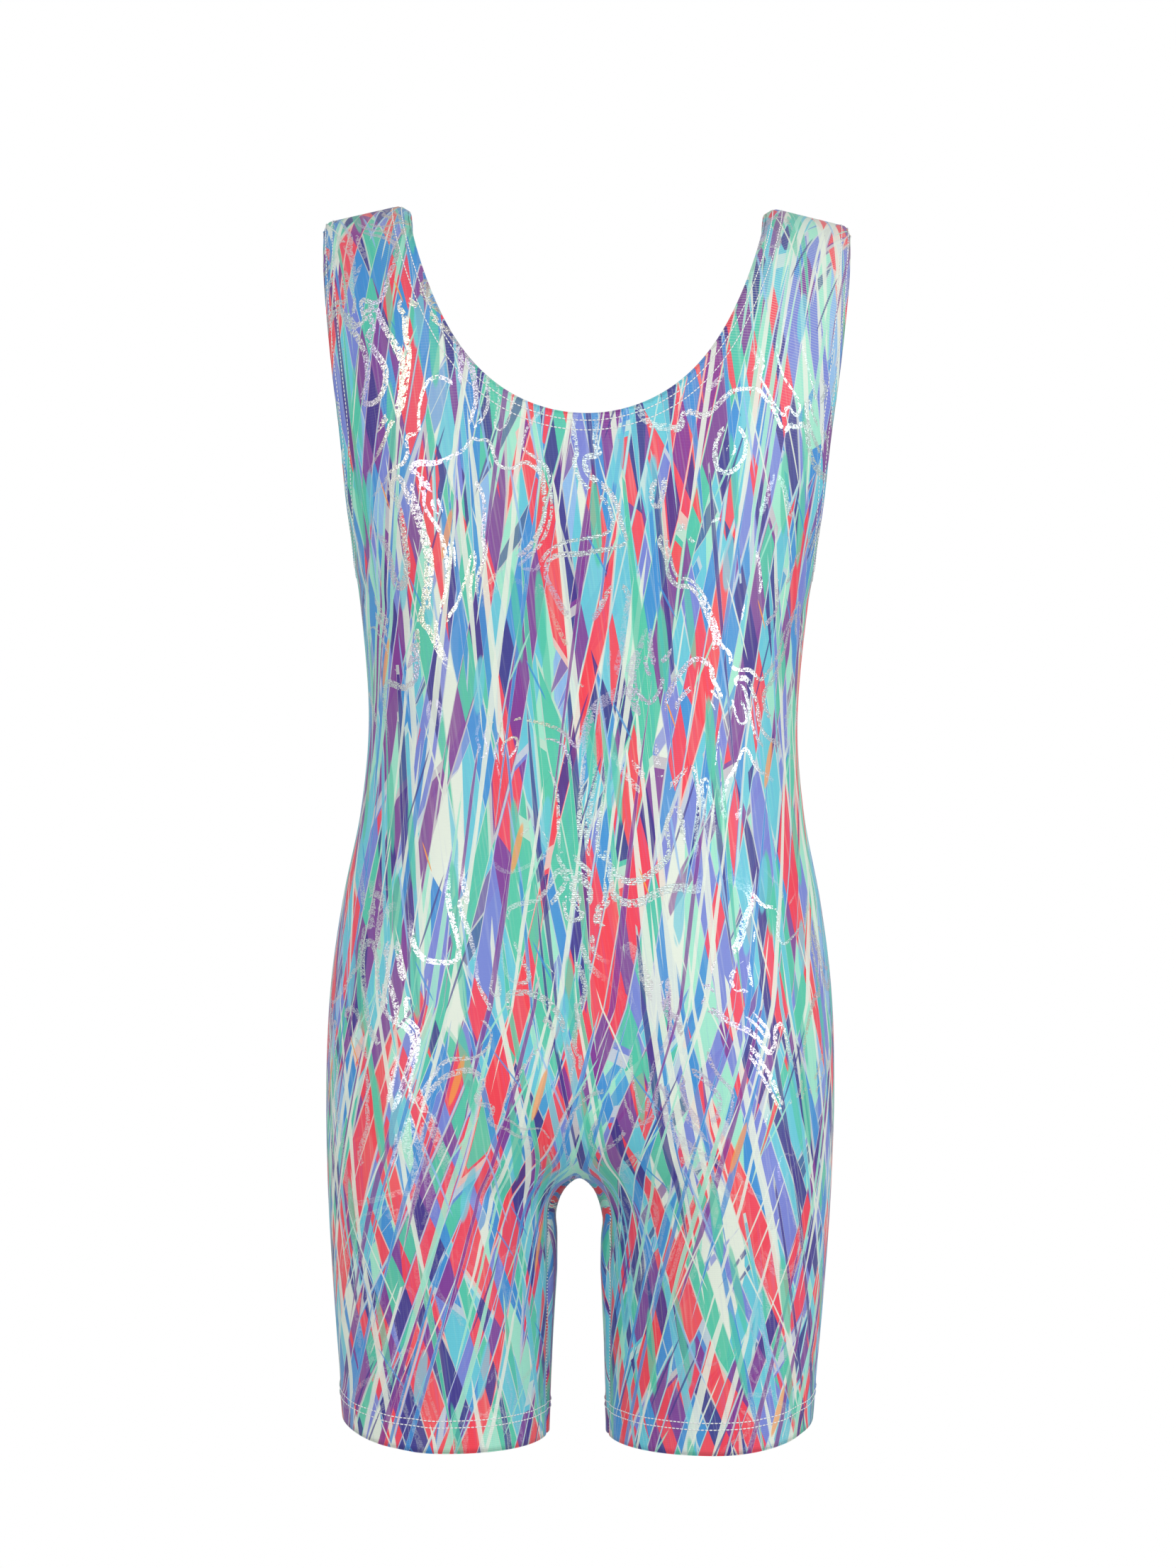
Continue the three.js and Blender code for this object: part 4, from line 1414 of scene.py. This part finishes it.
class SUIT_OT_inseam(bpy.types.Operator):
    """Sews the inseam, whose thread shows between the two panels"""
    bl_idname = "suit.inseam"
    bl_label = "Inseam"

    def execute(self, context):
        half = cloths()[FRONT].half
        lines = [part[: half.apex + 1, -1] for part in (half.points, half.normals)]
        line, facing = [np.concatenate((part, (part * (-1, 1, 1))[-2::-1])) for part in lines]
        lengths = path_lengths(line)
        even = np.arange(0, lengths[-1], cloth_settings().stitch_pitch * INSEAM_PITCH)
        points = read_along(even, lengths, line)
        normal = unit(read_along(even, lengths, facing))
        tangent = unit(np.gradient(points, axis=0))
        aside, along = INSEAM_STITCH
        reach = unit(np.cross(normal, tangent)) * aside + tangent * along
        centre = points - normal * INSEAM_DEPTH
        rows = [(centre - reach, centre + reach, normal)]
        stitches("inseam_stitching", rows, cloth_settings().stitch_width * INSEAM_WIDTH)
        return {"FINISHED"}


# Stage


def softbox(name, place, size, power):
    light = bpy.data.lights.new(name, "AREA")
    light.shape = "RECTANGLE"
    light.size, light.size_y = size
    light.energy = power
    lamp = bpy.data.objects.new(name, light)
    lamp.location = place
    bpy.context.collection.objects.link(lamp)
    direction = Vector(AIM) - Vector(place)
    lamp.rotation_euler = direction.to_track_quat("-Z", "Y").to_euler()


def white_studio():
    """A pale floor and a backdrop, both evenly white in the picture."""
    paint = bpy.data.materials.new("studio_white")
    paint.use_nodes = True
    surface = paint.node_tree.nodes["Principled BSDF"]
    surface.inputs["Base Color"].default_value = (0, 0, 0, 1)
    surface.inputs["Specular IOR Level"].default_value = 0
    surface.inputs["Emission Color"].default_value = (1, 1, 1, 1)
    surface.inputs["Emission Strength"].default_value = 1.0
    for name, add, size in (
        ("floor", bpy.ops.mesh.primitive_plane_add, {"size": 12}),
        ("backdrop", bpy.ops.mesh.primitive_uv_sphere_add, {"radius": 6}),
    ):
        bpy.ops.object.select_all(action="DESELECT")
        add(location=(0, 0, FLOOR), **size)
        sheet = bpy.context.object
        sheet.name = name
        sheet.data.materials.append(paint)
        sheet.visible_diffuse = False
        sheet.visible_glossy = False
        sheet.visible_shadow = False
        sheet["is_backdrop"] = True


class SUIT_OT_stage(bpy.types.Operator):
    """Makes the floor, the lights and the camera"""
    bl_idname = "suit.stage"
    bl_label = "Stage"

    def execute(self, context):
        stage = context.scene.suit_stage
        white_studio()
        world = context.scene.world or bpy.data.worlds.new("studio")
        context.scene.world = world
        world.use_nodes = True
        ambient = world.node_tree.nodes["Background"]
        ambient.inputs["Color"].default_value = (1, 1, 1, 1)
        ambient.inputs["Strength"].default_value = AMBIENT
        context.scene.view_settings.view_transform = "Standard"
        for name, place, size, power in SOFTBOXES:
            softbox(name, place, size, getattr(stage, power))
        data = bpy.data.cameras.new("camera")
        data.sensor_fit = "VERTICAL"
        data.sensor_height = 36
        data.sensor_width = 36
        data.lens = LENS
        camera = bpy.data.objects.new("camera", data)
        camera.location = (CAMERA_ASIDE, -stage.camera_distance, stage.camera_height)
        camera.rotation_euler = (QUARTER, stage.camera_roll, 0)
        context.collection.objects.link(camera)
        context.scene.camera = camera
        return {"FINISHED"}


class SUIT_PT_panel(bpy.types.Panel):
    bl_idname = "SUIT_PT_panel"
    bl_label = "Jumpsuit"
    bl_space_type = "VIEW_3D"
    bl_region_type = "UI"
    bl_category = "Jumpsuit"

    def draw(self, context):
        for operator in OPERATORS:
            self.layout.operator(operator.bl_idname)
        for group_name, group in GROUPS.items():
            for name in group.__annotations__:
                self.layout.prop(getattr(context.scene, group_name), name)


OPERATORS = (
    SUIT_OT_panels, SUIT_OT_edges, SUIT_OT_hems, SUIT_OT_inseam, SUIT_OT_stitching, SUIT_OT_stage)
GROUPS = {"suit_cloth": SuitCloth, "suit_inks": SuitInks, "suit_stage": SuitStage}


def register():
    for name, group in GROUPS.items():
        bpy.utils.register_class(group)
        setattr(bpy.types.Scene, name, PointerProperty(type=group))
    for operator in OPERATORS:
        bpy.utils.register_class(operator)
    bpy.utils.register_class(SUIT_PT_panel)


def unregister():
    bpy.utils.unregister_class(SUIT_PT_panel)
    for operator in reversed(OPERATORS):
        bpy.utils.unregister_class(operator)
    for name, group in GROUPS.items():
        delattr(bpy.types.Scene, name)
        bpy.utils.unregister_class(group)


def main():
    register()
    bpy.ops.suit.panels()
    bpy.ops.suit.edges()
    bpy.ops.suit.hems()
    bpy.ops.suit.inseam()
    bpy.ops.suit.stitching()
    bpy.ops.suit.stage()
    boxes = {"cad": CAD_BOX, "visual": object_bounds()}
    boxes = {name: [list(corner) for corner in box] for name, box in boxes.items()}


if __name__ == "__main__":
    main()
